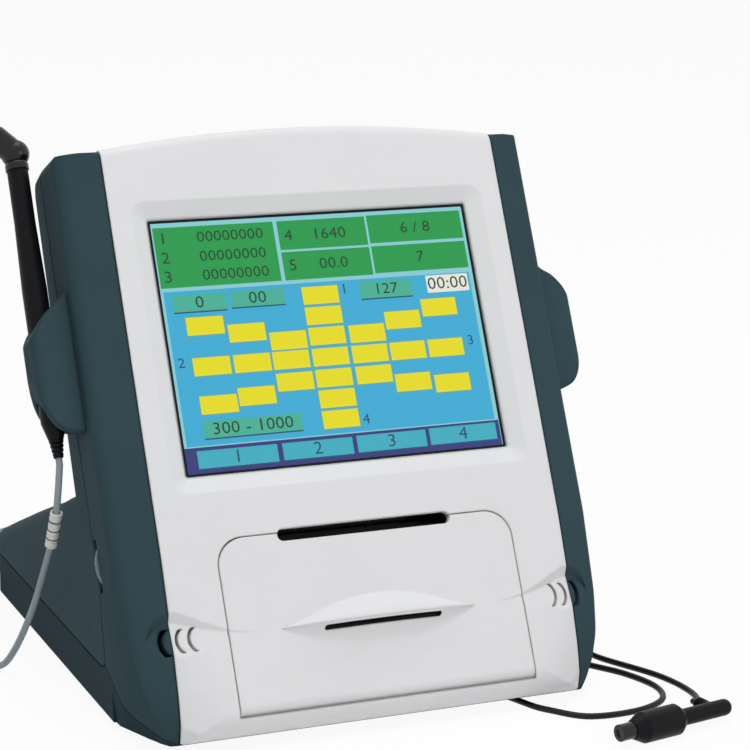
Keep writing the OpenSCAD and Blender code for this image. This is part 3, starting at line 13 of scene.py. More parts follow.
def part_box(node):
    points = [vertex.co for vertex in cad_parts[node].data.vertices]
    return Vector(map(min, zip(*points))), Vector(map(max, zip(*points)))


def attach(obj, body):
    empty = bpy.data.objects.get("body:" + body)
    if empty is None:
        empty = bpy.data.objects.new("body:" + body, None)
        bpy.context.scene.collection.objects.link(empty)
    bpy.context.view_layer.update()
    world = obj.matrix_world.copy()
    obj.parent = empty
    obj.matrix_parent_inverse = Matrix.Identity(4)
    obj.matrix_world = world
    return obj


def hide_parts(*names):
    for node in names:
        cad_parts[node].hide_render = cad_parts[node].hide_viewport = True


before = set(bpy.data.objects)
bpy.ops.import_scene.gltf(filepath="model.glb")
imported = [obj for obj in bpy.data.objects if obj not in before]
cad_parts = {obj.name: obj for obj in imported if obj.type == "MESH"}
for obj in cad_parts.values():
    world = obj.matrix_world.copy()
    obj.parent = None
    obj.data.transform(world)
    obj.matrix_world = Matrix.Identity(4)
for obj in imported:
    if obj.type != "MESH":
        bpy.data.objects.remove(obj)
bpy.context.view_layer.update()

# %% [markdown]
# The scanner was drawn on its own axes: x across, y to the back, z up, from the line where the sloping face
# meets the underside. Two functions turn places on the body, and places on the face, into the shared frame.
# The base pan shows how far the origin has moved.

# %% Places on the scanner
MM = 0.001
BODY_D = 193
FACE_TILT = math.radians(27.5)
pan_low, pan_high = [Vector(corner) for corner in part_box("base_pan")]
SHIFT = Vector(((pan_low.x + pan_high.x) / 2, pan_high.y - BODY_D * MM, pan_low.z))
UP_FACE = Vector((0, math.sin(FACE_TILT), math.cos(FACE_TILT)))
INTO_FACE = Vector((0, math.cos(FACE_TILT), -math.sin(FACE_TILT)))


def spot(x, y, z):
    return SHIFT + Vector((x, y, z)) * MM


def on_face(across, up, deep):
    return SHIFT + (Vector((across, 0, 0)) + UP_FACE * up + INTO_FACE * deep) * MM


print("shift in mm:", [round(v / MM, 3) for v in SHIFT])

# %% [markdown]
# The camera comes first. The photograph was taken from a little above and from the scanner's left, with a
# long lens, so upright lines stay almost parallel. Its place and turn were worked out from the upright edges
# and from the corners of the screen, which is taken to have the common size of 5.7 inches.

# %% Camera
CAMERA_AT = (-323.7, -716.0, 317.5)
AZIMUTH, ELEVATION, ROLL = (math.radians(v) for v in (23.57, 14.05, -1.23))
FOCAL_PX, FRAME_PX, SENSOR_MM = 2550, 750, 36
NEAREST_M, FARTHEST_M = 0.05, 20

ahead = Vector((math.sin(AZIMUTH) * math.cos(ELEVATION), math.cos(AZIMUTH) * math.cos(ELEVATION),
                -math.sin(ELEVATION)))
level = Vector((math.cos(AZIMUTH), -math.sin(AZIMUTH), 0))
down = ahead.cross(level)
right = level * math.cos(ROLL) + down * math.sin(ROLL)
over = level * math.sin(ROLL) - down * math.cos(ROLL)

lens = bpy.data.cameras.new("photo_camera")
lens.sensor_width = SENSOR_MM
lens.lens = FOCAL_PX / FRAME_PX * SENSOR_MM
lens.clip_start, lens.clip_end = NEAREST_M, FARTHEST_M
camera = bpy.data.objects.new("photo_camera", lens)
bpy.context.scene.collection.objects.link(camera)
camera.matrix_world = (Matrix.Translation(spot(*CAMERA_AT))
                       @ Matrix((right, over, -ahead)).transposed().to_4x4())
bpy.context.scene.camera = camera
bpy.context.scene.view_settings.view_transform = "Standard"
print("lens:", round(lens.lens, 1), "mm")

# %% [markdown]
# Every finish is a small tree of shader nodes. One function adds a node, sets what it is told and links
# what it is given, and one turns a written sRGB colour into the linear values that the shaders work in.
# Three more make a lighter or darker shade, start a finish, and put an object into the scene.

# %% Helpers for finishes and objects


def linear(hex_colour):
    parts = [int(hex_colour[i:i + 2], 16) / 255 for i in (1, 3, 5)]
    return [v / 12.92 if v <= 0.04045 else ((v + 0.055) / 1.055) ** 2.4 for v in parts] + [1.0]


def add(tree, kind, inputs=None, **settings):
    made = tree.nodes.new(kind)
    for name, value in settings.items():
        setattr(made, name, value)
    for name, value in (inputs or {}).items():
        socket = made.inputs[name]
        if isinstance(value, bpy.types.NodeSocket):
            tree.links.new(value, socket)
        else:
            socket.default_value = value
    return made


def shade(hex_colour, factor):
    return [min(1.0, v * factor) for v in linear(hex_colour)[:3]] + [1.0]


def new_finish(name):
    material = bpy.data.materials.new(name)
    material.use_nodes = True
    material.node_tree.nodes.clear()
    return material, material.node_tree


def put(name, data):
    thing = bpy.data.objects.new(name, data)
    bpy.context.scene.collection.objects.link(thing)
    return thing


print("middle grey in linear values:", [round(v, 3) for v in linear("#808080")])

# %% [markdown]
# Most of the scanner is moulded plastic. A mould leaves a fine spark-eroded grain, seen as a slight softness
# of every highlight, and the colour is never quite even over a large shell. Noise on Object coordinates
# gives both. A Bevel node rounds the shading over sharp edges, as a mould's small radii do. The real grain
# is finer than this picture can show, so it is drawn a little coarser. The dark shells are matt, so their
# specular level is low, or the white room would wash them out.

# %% One recipe for every plain finish
PATCH_LOW, PATCH_HIGH = 0.3, 0.7
DULL_SPREAD = 0.1
GRAIN_STRENGTH = 0.6
BEVEL_SAMPLES = 4


def surface(name, colour, roughness, grain_mm=0.6, relief_mm=0.02, spread=0.04, edge_mm=0.6, metallic=0.0,
            patch_mm=45.0, specular=0.5):
    material, tree = new_finish(name)
    where = add(tree, "ShaderNodeTexCoord").outputs["Object"]
    patches = add(tree, "ShaderNodeTexNoise", {"Vector": where, "Scale": 1 / (patch_mm * MM), "Detail": 3.0})
    tone = add(tree, "ShaderNodeValToRGB", {"Fac": patches.outputs["Fac"]})
    tone.color_ramp.elements[0].position = PATCH_LOW
    tone.color_ramp.elements[0].color = shade(colour, 1 - spread)
    tone.color_ramp.elements[1].position = PATCH_HIGH
    tone.color_ramp.elements[1].color = shade(colour, 1 + spread)
    grain = add(tree, "ShaderNodeTexNoise", {"Vector": where, "Scale": 1 / (grain_mm * MM), "Detail": 2.0})
    dull = add(tree, "ShaderNodeMapRange", {
        "Value": grain.outputs["Fac"], "To Min": roughness * (1 - DULL_SPREAD),
        "To Max": roughness * (1 + DULL_SPREAD)})
    soft = add(tree, "ShaderNodeBevel", {"Radius": edge_mm * MM}, samples=BEVEL_SAMPLES)
    bump = add(tree, "ShaderNodeBump", {
        "Height": grain.outputs["Fac"], "Distance": relief_mm * MM, "Strength": GRAIN_STRENGTH,
        "Normal": soft.outputs["Normal"]})
    shader = add(tree, "ShaderNodeBsdfPrincipled", {
        "Base Color": tone.outputs["Color"], "Roughness": dull.outputs["Result"], "Metallic": metallic,
        "Specular IOR Level": specular, "Normal": bump.outputs["Normal"]})
    add(tree, "ShaderNodeOutputMaterial", {"Surface": shader.outputs["BSDF"]})
    return material


print("recipe ready, with", BEVEL_SAMPLES, "bevel samples")

# %% [markdown]
# The panel and the door are pale ABS, and the housing around them is slate ABS with a coarser texture. The
# probes, the line round the screen and the small parts are black, and the feet are rubber. The broad slate
# shells get a wide Bevel, since their edges look rounder in the photograph than in the model.

# %% Moulded plastic and rubber
# Pale ABS: almost even, with a soft shine
pale_abs = surface("moulded_pale_abs", "#E3E3E4", 0.42, spread=0.012, edge_mm=1.0, specular=0.25)
# Textured ABS: a coarser spark-eroded grain, which takes nearly all the shine away
slate_abs = surface("textured_slate_abs", "#384C53", 0.55, grain_mm=0.8, relief_mm=0.04, spread=0.05,
                    edge_mm=2.2, specular=0.015)
pan_abs = surface("textured_dark_slate_abs", "#2A3D44", 0.56, grain_mm=0.8, relief_mm=0.04, edge_mm=1.5,
                  specular=0.015)
# Black ABS: fine grain with a weak highlight
black_abs = surface("moulded_black_abs", "#0F1013", 0.42, grain_mm=0.5, relief_mm=0.015, spread=0.1,
                    specular=0.12)
# Polished acetal: smooth enough for a small sharp highlight
gloss_black = surface("polished_black_acetal", "#0E0F12", 0.2, relief_mm=0.006, spread=0.1, specular=0.35)
# Rubber: dull and a little uneven
rubber = surface("moulded_rubber", "#1B1C1E", 0.75, grain_mm=0.9, relief_mm=0.05, spread=0.12)
print("plastics:", pale_abs.name, slate_abs.name, pan_abs.name, black_abs.name, gloss_black.name)

# %% [markdown]
# Inside and behind are metals, boards, gears and paper. They show with the door open, from behind or with a
# shell taken off, so each has the finish of the real stuff. They differ in colour, roughness and grain only,
# so the same recipe makes them all, and the metals get a high metallic value.

# %% Metals, boards and paper
# Zinc plate: bright, with faint clouds
zinc_steel = surface("zinc_plated_steel", "#B4B7BB", 0.3, grain_mm=1.2, spread=0.08, metallic=1.0)
# Black oxide: a dark skin that dims the steel's shine
black_oxide = surface("black_oxide_steel", "#1D1E20", 0.45, grain_mm=1.0, spread=0.1, metallic=0.6,
                      specular=0.2)
# Aluminium sheet: silvery and softer than the zinc
sheet_aluminium = surface("brushed_aluminium", "#B9BBBE", 0.34, grain_mm=0.7, spread=0.06, metallic=1.0)
# Turned brass: warm and bright
turned_brass = surface("turned_brass", "#B5924C", 0.28, spread=0.06, metallic=1.0)
# Solder mask: a green lacquer, mottled by the copper under it
solder_mask = surface("solder_mask_green", "#14573A", 0.34, grain_mm=1.5, relief_mm=0.06, spread=0.25,
                      patch_mm=6)
# White acetal and grey plastic: even and half matt
white_acetal = surface("moulded_white_acetal", "#E4E3DC", 0.38, spread=0.03)
ribbed_grey = surface("ribbed_grey_plastic", "#5F757E", 0.5, spread=0.06)
# Ground rubber and rolled card: rough, with hardly any highlight
ground_rubber = surface("ground_roller_rubber", "#202124", 0.82, grain_mm=0.4, relief_mm=0.05, spread=0.1)
brown_card = surface("rolled_card", "#8E7350", 0.85, grain_mm=0.8, relief_mm=0.05, spread=0.12, patch_mm=8)
# Thermal paper: coated, so it is whiter and smoother than card
thermal_paper = surface("thermal_paper", "#ECEBE4", 0.7, grain_mm=0.5, relief_mm=0.02, spread=0.02)
print("metals:", zinc_steel.name, black_oxide.name, sheet_aluminium.name, turned_brass.name)

# %% [markdown]
# The touch panel is a sheet of clear glass in front of the picture. It only has to let the picture through
# and to mirror the room a little, so it is a transmitting shader with an IOR near that of glass and a low
# specular level, as on a panel with an anti-glare coat. A faint waviness keeps it from looking like a mirror.

# %% Touch glass
WAVE_MM, WAVE_RELIEF_MM, WAVE_STRENGTH = 18, 0.01, 0.2
touch_glass, tree = new_finish("clear_touch_glass")
where = add(tree, "ShaderNodeTexCoord").outputs["Object"]
waves = add(tree, "ShaderNodeTexNoise", {"Vector": where, "Scale": 1 / (WAVE_MM * MM), "Detail": 1.0})
ripple = add(tree, "ShaderNodeBump", {
    "Height": waves.outputs["Fac"], "Distance": WAVE_RELIEF_MM * MM, "Strength": WAVE_STRENGTH})
shader = add(tree, "ShaderNodeBsdfPrincipled", {
    "Base Color": [0.98, 0.99, 0.99, 1], "Roughness": 0.02, "IOR": 1.45, "Transmission Weight": 1.0,
    "Specular IOR Level": 0.1, "Normal": ripple.outputs["Normal"]})
add(tree, "ShaderNodeOutputMaterial", {"Surface": shader.outputs["BSDF"]})
print("glass:", touch_glass.name)

# %% [markdown]
# Each CAD node gets its finish by name. The table gives the finish first and then the nodes that wear it.
# The screen module is left for later, as its finish is a lit colour.

# %% Dress the CAD nodes
FINISHES = {
    pale_abs: ["front_bezel", "printer_door"],
    slate_abs: ["front_housing", "rear_cover", "left_holder", "right_holder"],
    pan_abs: ["base_pan"],
    black_abs: ["screen_gasket", "left_speaker", "right_speaker", "contrast_pot", "paper_cradle",
                "rocker_frame", "power_jack", "pen_barrel", "pen_tail", "scan_body", "scan_handle",
                "scan_relief", "pen_tie", "pen_plug", "scan_tie", "scan_plug"],
    gloss_black: ["power_rocker", "pen_collar", "pen_head", "pen_tip", "scan_tip"],
    rubber: ["feet"],
    zinc_steel: ["case_screws", "door_hinge_pins", "feed_motor", "idler_pin", "data_port", "pen_socket",
                 "scan_socket"],
    sheet_aluminium: ["chassis_plate", "rear_plate"],
    black_oxide: ["printer_frame", "print_head"],
    turned_brass: ["motor_pinion"],
    solder_mask: ["mainboard", "pulser_board", "power_board"],
    white_acetal: ["platen_gear", "idler_gear", "paper_spindle", "pen_marker"],
    ribbed_grey: ["contrast_wheel"],
    ground_rubber: ["platen_roller"],
    brown_card: ["paper_core"],
    thermal_paper: ["paper_roll"],
    touch_glass: ["touch_panel"],
}


def dress(name, material):
    thing = bpy.data.objects[name]
    if not thing.material_slots:
        thing.data.materials.append(None)
    for slot in thing.material_slots:
        slot.material = material


for material, names in FINISHES.items():
    for name in names:
        dress(name, material)
print("dressed:", sum(len(names) for names in FINISHES.values()), "nodes")

# %% [markdown]
# The outer shells are moulded, and their corners are built in the CAD from many flat cuts, a few degrees
# apart. On the real shell these run into one another. A copy of each shell has its doubled points merged,
# its sharper edges kept, and its normals weighted by area, so that broad faces stay flat and the narrow
# ones between them turn the light smoothly. The panel keeps more of its edges, as the screen's frame has
# crisp ones.

# %% Shells with smooth corners
MERGE_MM = 0.004
CRISP_DEG, SOFT_DEG = 15, 34


def softened(node, body, sharp_deg):
    source = bpy.data.objects[node]
    mesh = source.data.copy()
    mesh.name = node + "_shell"
    work = bmesh.new()
    work.from_mesh(mesh)
    bmesh.ops.remove_doubles(work, verts=work.verts, dist=MERGE_MM * MM)
    for face in work.faces:
        face.smooth = True
    for edge in work.edges:
        edge.smooth = edge.is_manifold and edge.calc_face_angle(0.0) < math.radians(sharp_deg)
    work.to_mesh(mesh)
    work.free()
    thing = put(node + "_shell", mesh)
    thing.matrix_world = source.matrix_world.copy()
    weigh = thing.modifiers.new("weigh", "WEIGHTED_NORMAL")
    weigh.keep_sharp = True
    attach(thing, body)
    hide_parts(node)
    return thing


softened("front_bezel", "scanner", CRISP_DEG)
for node in ("front_housing", "rear_cover", "base_pan", "left_holder", "right_holder"):
    softened(node, "scanner", SOFT_DEG)
door_shell = softened("printer_door", "door", SOFT_DEG)
print("shells softened")

# %% [markdown]
# The pull lip has a narrow, deep slit, which looks black because shade fills it. The faces inside it are
# found by their place on the sloping face and get the black plastic as painted shade, though the real slit is
# the door's pale plastic.

# %% Painted shade in the pull lip's slit
LIP_AT, LIP_OUT = 38.5, 7
SLIT_BELOW, SLIT_W, SLIT_H = 1, 42, 1.5
SLIT_UP = LIP_AT - SLIT_BELOW - SLIT_H / 2
SIDE_SLACK, EDGE_SLACK, FRONT_SLACK = 0.05, 0.03, 0.2
# painted shade: black plastic on the slit's inner faces stands for the shade deep inside the slit
door_shell.data.materials.append(black_abs)
for face in door_shell.data.polygons:
    across, back, up = (door_shell.matrix_world @ face.center - SHIFT) / MM
    place = Vector((0, back, up))
    height, deep = place.dot(UP_FACE), place.dot(INTO_FACE)
    beside = abs(across) < SLIT_W / 2 + SIDE_SLACK and abs(height - SLIT_UP) < SLIT_H / 2 + EDGE_SLACK
    if beside and FRONT_SLACK - LIP_OUT < deep < 0:
        face.material_index = len(door_shell.data.materials) - 1
print("slit faces:", sum(face.material_index > 0 for face in door_shell.data.polygons))

# %% [markdown]
# A lead is a round soft jacket over fine wires. It leaves the probe straight, hangs or lies under its own
# weight, and what the photograph does not show is wound into a neat tied coil behind the scanner. The jacket
# is vinyl that was drawn through a die, so it is smooth and takes a soft shine along its length.

# %% Cable jackets
grey_jacket = surface("soft_grey_pvc_jacket", "#87939B", 0.42, grain_mm=0.7, relief_mm=0.02, spread=0.05,
                      patch_mm=20)
black_jacket = surface("soft_black_pvc_jacket", "#111215", 0.4, grain_mm=0.7, relief_mm=0.02, spread=0.1,
                       patch_mm=20, specular=0.25)
print("jackets:", grey_jacket.name, black_jacket.name)

# %% [markdown]
# The way points are the same as in the CAD model. A curve object could run through them by itself, but then
# its length would be unknown, so one formula lays points on a smooth line and their distances add up to it.

# %% Curves through way points


def smooth(points, steps):
    made = []
    for i in range(len(points) - 1):
        a, b = points[max(0, i - 1)], points[i]
        c, d = points[i + 1], points[min(len(points) - 1, i + 2)]
        for k in range(steps):
            u = k / steps
            made.append((2 * b + (c - a) * u + (2 * a - 5 * b + 4 * c - d) * u * u
                         + (3 * b - a - 3 * c + d) * u ** 3) / 2)
    return made + [points[-1]]


def length_of(points):
    return sum((b - a).length for a, b in zip(points, points[1:]))


print("curve helpers ready")

# %% [markdown]
# A coil is wound in four layers, inwards and outwards in turn. The loop counts the turns so far, and half a
# turn round each change of layer carries the lead up by one step. The bottom layer lies on the tie. The CAD
# model draws the lead with six sides that lie on a flat, so the coil keeps that height here, though the lead
# is round.

# %% Coils
COIL_LAYERS = 4
COIL_GAP = 0.45
COIL_WIDE = 12
COIL_RINGS = 36
CLIMB_TURNS = 0.5
TIE_T = 0.8
FOOT_H = 3
HEX_FLAT = math.cos(math.radians(30))


def coil(x, y, diameter, turns, way):
    per, step = turns / COIL_LAYERS, diameter + COIL_GAP
    inner = COIL_WIDE * diameter / 2 - per * step / 2
    z = diameter / 2 * HEX_FLAT + TIE_T - FOOT_H
    made = []
    for i in range(int(turns * COIL_RINGS) + 1):
        s = i / COIL_RINGS
        layer = min(COIL_LAYERS - 1, int(s / per))
        reach = s - layer * per
        r = inner + step * (per - reach if layer % 2 == 0 else reach)
        turn = math.floor(s / per + 0.5)
        near = s - turn * per
        if turn <= 0 or turn >= COIL_LAYERS:
            height = 0 if turn <= 0 else COIL_LAYERS - 1
        else:
            u = max(0.0, min(1.0, near / CLIMB_TURNS + 0.5))
            height = turn - 1 + u * u * (3 - 2 * u)
        a = math.pi - 2 * math.pi * s
        made.append(Vector((x + way * r * math.cos(a), y + r * math.sin(a), z + step * height)))
    first, last = (made[0] - made[1]).normalized(), (made[-1] - made[-2]).normalized()
    return [made[0] + first * diameter] + made + [made[-1] + last * diameter]


print("coil helper ready")

# %% [markdown]
# The route of each lead is a given list, in millimetres on the scanner's own axes: down from the
# pocket or away from the probe on the table, back to the coil, and from the coil up to the plug.

# %% Way points of the two leads
REAR_PLATE_SHARE, PLUG_OUT, PLUG_L, BOOT_L = 0.928, 1.2, 18, 9
PORT_Y = REAR_PLATE_SHARE * BODY_D + PLUG_OUT + PLUG_L + BOOT_L
PORT_X, PORT_Z = 38, 14
COIL_X, COIL_Y = 62, 215
LEAD_STEPS = 6
PEN_LEAD_D, SCAN_LEAD_D = 2.4, 2.2
PEN_TURNS, SCAN_TURNS = 13.25, 11.25
PEN_X, PEN_TAIL_UP, PEN_DEEP = 94.3, 106.6, 24
PEN_TAIL = Vector((-PEN_X, 0, 0)) + (UP_FACE * PEN_TAIL_UP + INTO_FACE * PEN_DEEP)
PEN_WAY = [(-96, 66, 72), (-97, 67, 60), (-98, 74, 46), (-100, 84, 27), (-103, 97, 8), (-106, 107, -1),
           (-110, 122, -1.8), (-110, 150, -1.8), (-104, 178, -1.8), (-90, 196, -1.8)]
SCAN_AT, SCAN_TURN, SCAN_BODY_D = (65, -31.5), math.radians(10.6), 10.6
SCAN_Z = SCAN_BODY_D / 2 - FOOT_H
RELIEF_AT, HANDLE_D, RELIEF_L = 40, 5.7, 4.4
SCAN_WAY = [(105, -14, 1), (109, -8, -1), (112, 4, -1.9), (109, 21, -1.9), (98, 44, -1.9), (96, 57, -1.9),
            (90, 63, -1.9), (84, 57, -1.9), (85, 47, -1.9), (92, 37, -1.9), (99, 26, -1.9), (103, 12, -1.9),
            (100, 1, -1.9), (91, -5, -1.9), (79, -7, -1.9), (67, -5, -1.9), (59, 3, -1.9), (53, 13, -1.9),
            (46, 40, -1.9), (46, 100, -1.9), (49, 160, -1.9), (60, 186, -1.9), (74, 202, -1.9)]
PEN_BACK = [(-46, 231, 8), (-39, 222, 11)]
SCAN_BACK = [(47, 230, 8), (39, 222, 11)]


def scan_point(along, out):
    return Vector((SCAN_AT[0] + along * math.cos(SCAN_TURN) - out * math.sin(SCAN_TURN),
                   SCAN_AT[1] + along * math.sin(SCAN_TURN) + out * math.cos(SCAN_TURN), SCAN_Z))


def whole_lead(start, leave, way, wound, back, port_x, diameter):
    into = (wound[0] - wound[1]).normalized() * diameter
    lead = [start] + smooth([leave] + [Vector(p) for p in way] + [wound[0] + into], LEAD_STEPS)
    out = (wound[-1] - wound[-2]).normalized() * diameter
    plug = Vector((port_x, PORT_Y, PORT_Z))
    arrive = plug + Vector((0, diameter, 0))
    tail = smooth([wound[-1] + out] + [Vector(p) for p in back] + [arrive], LEAD_STEPS)
    for point in lead:
        point.z = max(point.z, diameter / 2 - FOOT_H)
    return lead + wound + tail + [plug]


pen_coil = coil(-COIL_X, COIL_Y, PEN_LEAD_D, PEN_TURNS, 1)
scan_coil = coil(COIL_X, COIL_Y, SCAN_LEAD_D, SCAN_TURNS, -1)
pen_leave = PEN_TAIL - UP_FACE * PEN_LEAD_D
scan_start = scan_point(RELIEF_AT, HANDLE_D / 2 + RELIEF_L)
scan_leave = scan_point(RELIEF_AT, HANDLE_D / 2 + RELIEF_L + SCAN_LEAD_D)
pen_line = whole_lead(PEN_TAIL, pen_leave, PEN_WAY, pen_coil, PEN_BACK, -PORT_X, PEN_LEAD_D)
scan_line = whole_lead(scan_start, scan_leave, SCAN_WAY, scan_coil, SCAN_BACK, PORT_X, SCAN_LEAD_D)
print("leads in mm:", round(length_of(pen_line)), round(length_of(scan_line)))

# %% [markdown]
# A bevelled curve is the shortest way to a round cord: it keeps the same section everywhere and needs no mesh
# of its own.

# %% Lay the two leads


def lead_piece(name, line, diameter, material):
    drawn = bpy.data.curves.new(name, "CURVE")
    drawn.dimensions = "3D"
    drawn.bevel_depth = diameter / 2 * MM
    drawn.bevel_resolution = 3
    drawn.use_fill_caps = True
    spline = drawn.splines.new("POLY")
    spline.points.add(len(line) - 1)
    for point, place in zip(spline.points, line):
        point.co = (*spot(*place), 1)
    drawn.materials.append(material)
    thing = put(name, drawn)
    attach(thing, "scanner")
    return thing


for name, line, diameter, material in (("pen", pen_line, PEN_LEAD_D, grey_jacket),
                                       ("scan", scan_line, SCAN_LEAD_D, black_jacket)):
    thing = lead_piece(name + "_cable", line, diameter, material)
    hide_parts(name + "_lead", name + "_coil", name + "_lead_end")
    print(thing.name, round(length_of(line)), "mm")

# %% [markdown]
# The screen glows. A liquid crystal picture is a flat sheet of coloured light, so each field is a thin quad
# just in front of the panel, with a shader that gives off its own colour. The real dots are 0.36 mm apart;
# a faint dot pattern at twice that size is all that shows here. Words are left off, and only plain
# figures stand in their places.

# %% Lit colours of the screen
GLOW = 0.92
REAL_DOT_MM = 0.36
DOT_MM = 2 * REAL_DOT_MM
DOT_SHADE = 0.93


def lit(name, colour):
    material, tree = new_finish(name)
    where = add(tree, "ShaderNodeTexCoord").outputs["Object"]
    flat = add(tree, "ShaderNodeMapping", {"Vector": where, "Rotation": (FACE_TILT - math.pi / 2, 0, 0)})
    dots = add(tree, "ShaderNodeTexChecker", {
        "Vector": flat.outputs["Vector"], "Scale": 1 / (DOT_MM * MM), "Color1": linear(colour),
        "Color2": shade(colour, DOT_SHADE)})
    shader = add(tree, "ShaderNodeBsdfPrincipled", {
        "Base Color": [0, 0, 0, 1], "Roughness": 0.5, "Specular IOR Level": 0.0,
        "Emission Color": dots.outputs["Color"], "Emission Strength": GLOW})
    add(tree, "ShaderNodeOutputMaterial", {"Surface": shader.outputs["BSDF"]})
    return material


LIT = {name: lit("lcd_" + name, colour) for name, colour in {
    "line": "#8FD4DC", "green": "#149F49", "field": "#37B2DE", "navy": "#2F3580", "key": "#3BB4C8",
    "yellow": "#F2E600", "teal": "#45B79B", "cream": "#F2F2E6", "dark_green": "#06401F", "ink": "#17506F",
    "deep": "#1D3F35", "outline": "#5FAFB8"}.items()}
dress("lcd_module", LIT["line"])
print("lit colours:", len(LIT))

# %% [markdown]
# The fields are plain rectangles, so a mesh of four corners each is enough. Each row below says left, right,
# top and bottom in millimetres from the picture's upper left corner. Every layer is lifted by a hundredth of
# a millimetre over the one below, so that none of them flicker through another.

# %% Fields of the picture
LCD_W, LCD_H, LCD_UP, LCD_DEEP = 115.2, 86.4, 136.0, 4.2
GROUND_LIFT, FIELD_LIFT, KEY_LIFT, CELL_LIFT, FIGURE_LIFT = 0.01, 0.02, 0.03, 0.04, 0.05


def on_lcd(u, v, lift):
    return on_face(-LCD_W / 2 + u, LCD_UP + LCD_H / 2 - v, LCD_DEEP - lift)


def fields(name, boxes, material, lift):
    corners, quads = [], []
    for left, right_side, top, bottom in boxes:
        n = len(corners)
        corners += [on_lcd(u, v, lift) for u, v in ((left, bottom), (right_side, bottom), (right_side, top),
                                                    (left, top))]
        quads.append((n, n + 1, n + 2, n + 3))
    mesh = bpy.data.meshes.new(name)
    mesh.from_pydata([tuple(c) for c in corners], [], quads)
    mesh.materials.append(material)
    thing = put(name, mesh)
    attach(thing, "scanner")


fields("picture_ground", [(0, LCD_W, 0, LCD_H)], LIT["line"], GROUND_LIFT)
fields("picture_header", [(0.8, 44, 1.4, 22.5), (45.4, 78, 1.4, 11.7), (45.4, 78, 12.5, 22.5),
                          (78.8, 114.4, 1.2, 11.3), (78.8, 114.4, 12.4, 22.1)], LIT["green"], FIELD_LIFT)
fields("picture_field", [(1.3, 114.0, 23.8, 77.0)], LIT["field"], FIELD_LIFT)
fields("picture_strip", [(0, LCD_W, 77.4, LCD_H)], LIT["navy"], FIELD_LIFT)
fields("picture_keys", [(4.4, 32.8, 78.6, 84.6), (34.6, 60, 78.6, 84.4), (61.6, 87.2, 78.4, 84.2),
                        (88.6, 113.8, 78.2, 84.0)], LIT["key"], KEY_LIFT)
fields("picture_buttons", [(4.0, 23.0, 25.2, 31.0), (24.6, 44.0, 25.0, 30.6), (72.0, 91.4, 24.8, 30.8),
                           (8.0, 43.0, 68.8, 74.6)], LIT["teal"], KEY_LIFT)
fields("picture_clock", [(97.2, 113.2, 24.2, 30.4)], LIT["cream"], KEY_LIFT)
fields("picture_rims", [(4.0, 23.0, 31.0, 31.5), (24.6, 44.0, 30.6, 31.1), (72.0, 91.4, 30.8, 31.3),
                        (8.0, 43.0, 74.6, 75.1), (4.4, 32.8, 84.6, 85.0), (34.6, 60, 84.4, 84.8),
                        (61.6, 87.2, 84.2, 84.6), (88.6, 113.8, 84.0, 84.4)], LIT["ink"], KEY_LIFT)
print("fields of light drawn")

# %% [markdown]
# The yellow boxes on the screen and the ribs on the leads are one shape set in many places, which is work
# for Geometry Nodes: a mesh of bare points says where, and the tree puts one piece on each, with named
# inputs for its sizes. Each tree ends in Realize Instances and Set Material, because the export drops
# instances, and the result is turned into a plain mesh.

# %% Trees that repeat a thing on points
SOCKET_KINDS = {"Turn": "NodeSocketRotation", "Material": "NodeSocketMaterial"}


def tree_with(name, *sizes):
    tree = bpy.data.node_groups.new(name, "GeometryNodeTree")
    tree.interface.new_socket("Geometry", in_out="INPUT", socket_type="NodeSocketGeometry")
    keys = {}
    for label in (*sizes, "Turn", "Material"):
        kind = SOCKET_KINDS.get(label, "NodeSocketFloat")
        keys[label] = tree.interface.new_socket(label, in_out="INPUT", socket_type=kind).identifier
    tree.interface.new_socket("Geometry", in_out="OUTPUT", socket_type="NodeSocketGeometry")
    return tree, add(tree, "NodeGroupInput"), keys


def one_on_each(tree, given, piece):
    set_out = add(tree, "GeometryNodeInstanceOnPoints", {
        "Points": given.outputs["Geometry"], "Instance": piece, "Rotation": given.outputs["Turn"]})
    real = add(tree, "GeometryNodeRealizeInstances", {"Geometry": set_out.outputs["Instances"]})
    painted = add(tree, "GeometryNodeSetMaterial", {
        "Geometry": real.outputs["Geometry"], "Material": given.outputs["Material"]})
    add(tree, "NodeGroupOutput", {"Geometry": painted.outputs["Geometry"]})


def grown(name, points, tree, keys, values, material, body):
    mesh = bpy.data.meshes.new(name + "_points")
    mesh.from_pydata([tuple(p) for p in points], [], [])
    seed = put(name + "_points", mesh)
    growth = seed.modifiers.new("growth", "NODES")
    growth.node_group = tree
    for label, value in values.items():
        growth[keys[label]] = value
    growth[keys["Material"]] = material
    result = seed.evaluated_get(bpy.context.evaluated_depsgraph_get())
    made = put(name, bpy.data.meshes.new_from_object(result))
    seed.modifiers.remove(growth)
    bpy.data.objects.remove(seed)
    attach(made, body)
    return made


box_tree, given, box_keys = tree_with("boxes_on_points", "Width", "Height")
grid = add(box_tree, "GeometryNodeMeshGrid", {
    "Size X": given.outputs["Width"], "Size Y": given.outputs["Height"], "Vertices X": 2, "Vertices Y": 2})
one_on_each(box_tree, given, grid.outputs["Mesh"])
print("tree:", box_tree.name, list(box_keys))

# %% [markdown]
# Twenty-five yellow boxes lie on the field, one for each place where a thickness of the cornea is shown. They
# don't stand in an even grid, so their middles are a list, read from the photograph in millimetres of the
# picture. A slightly larger box under each gives it a thin grey-blue edge.

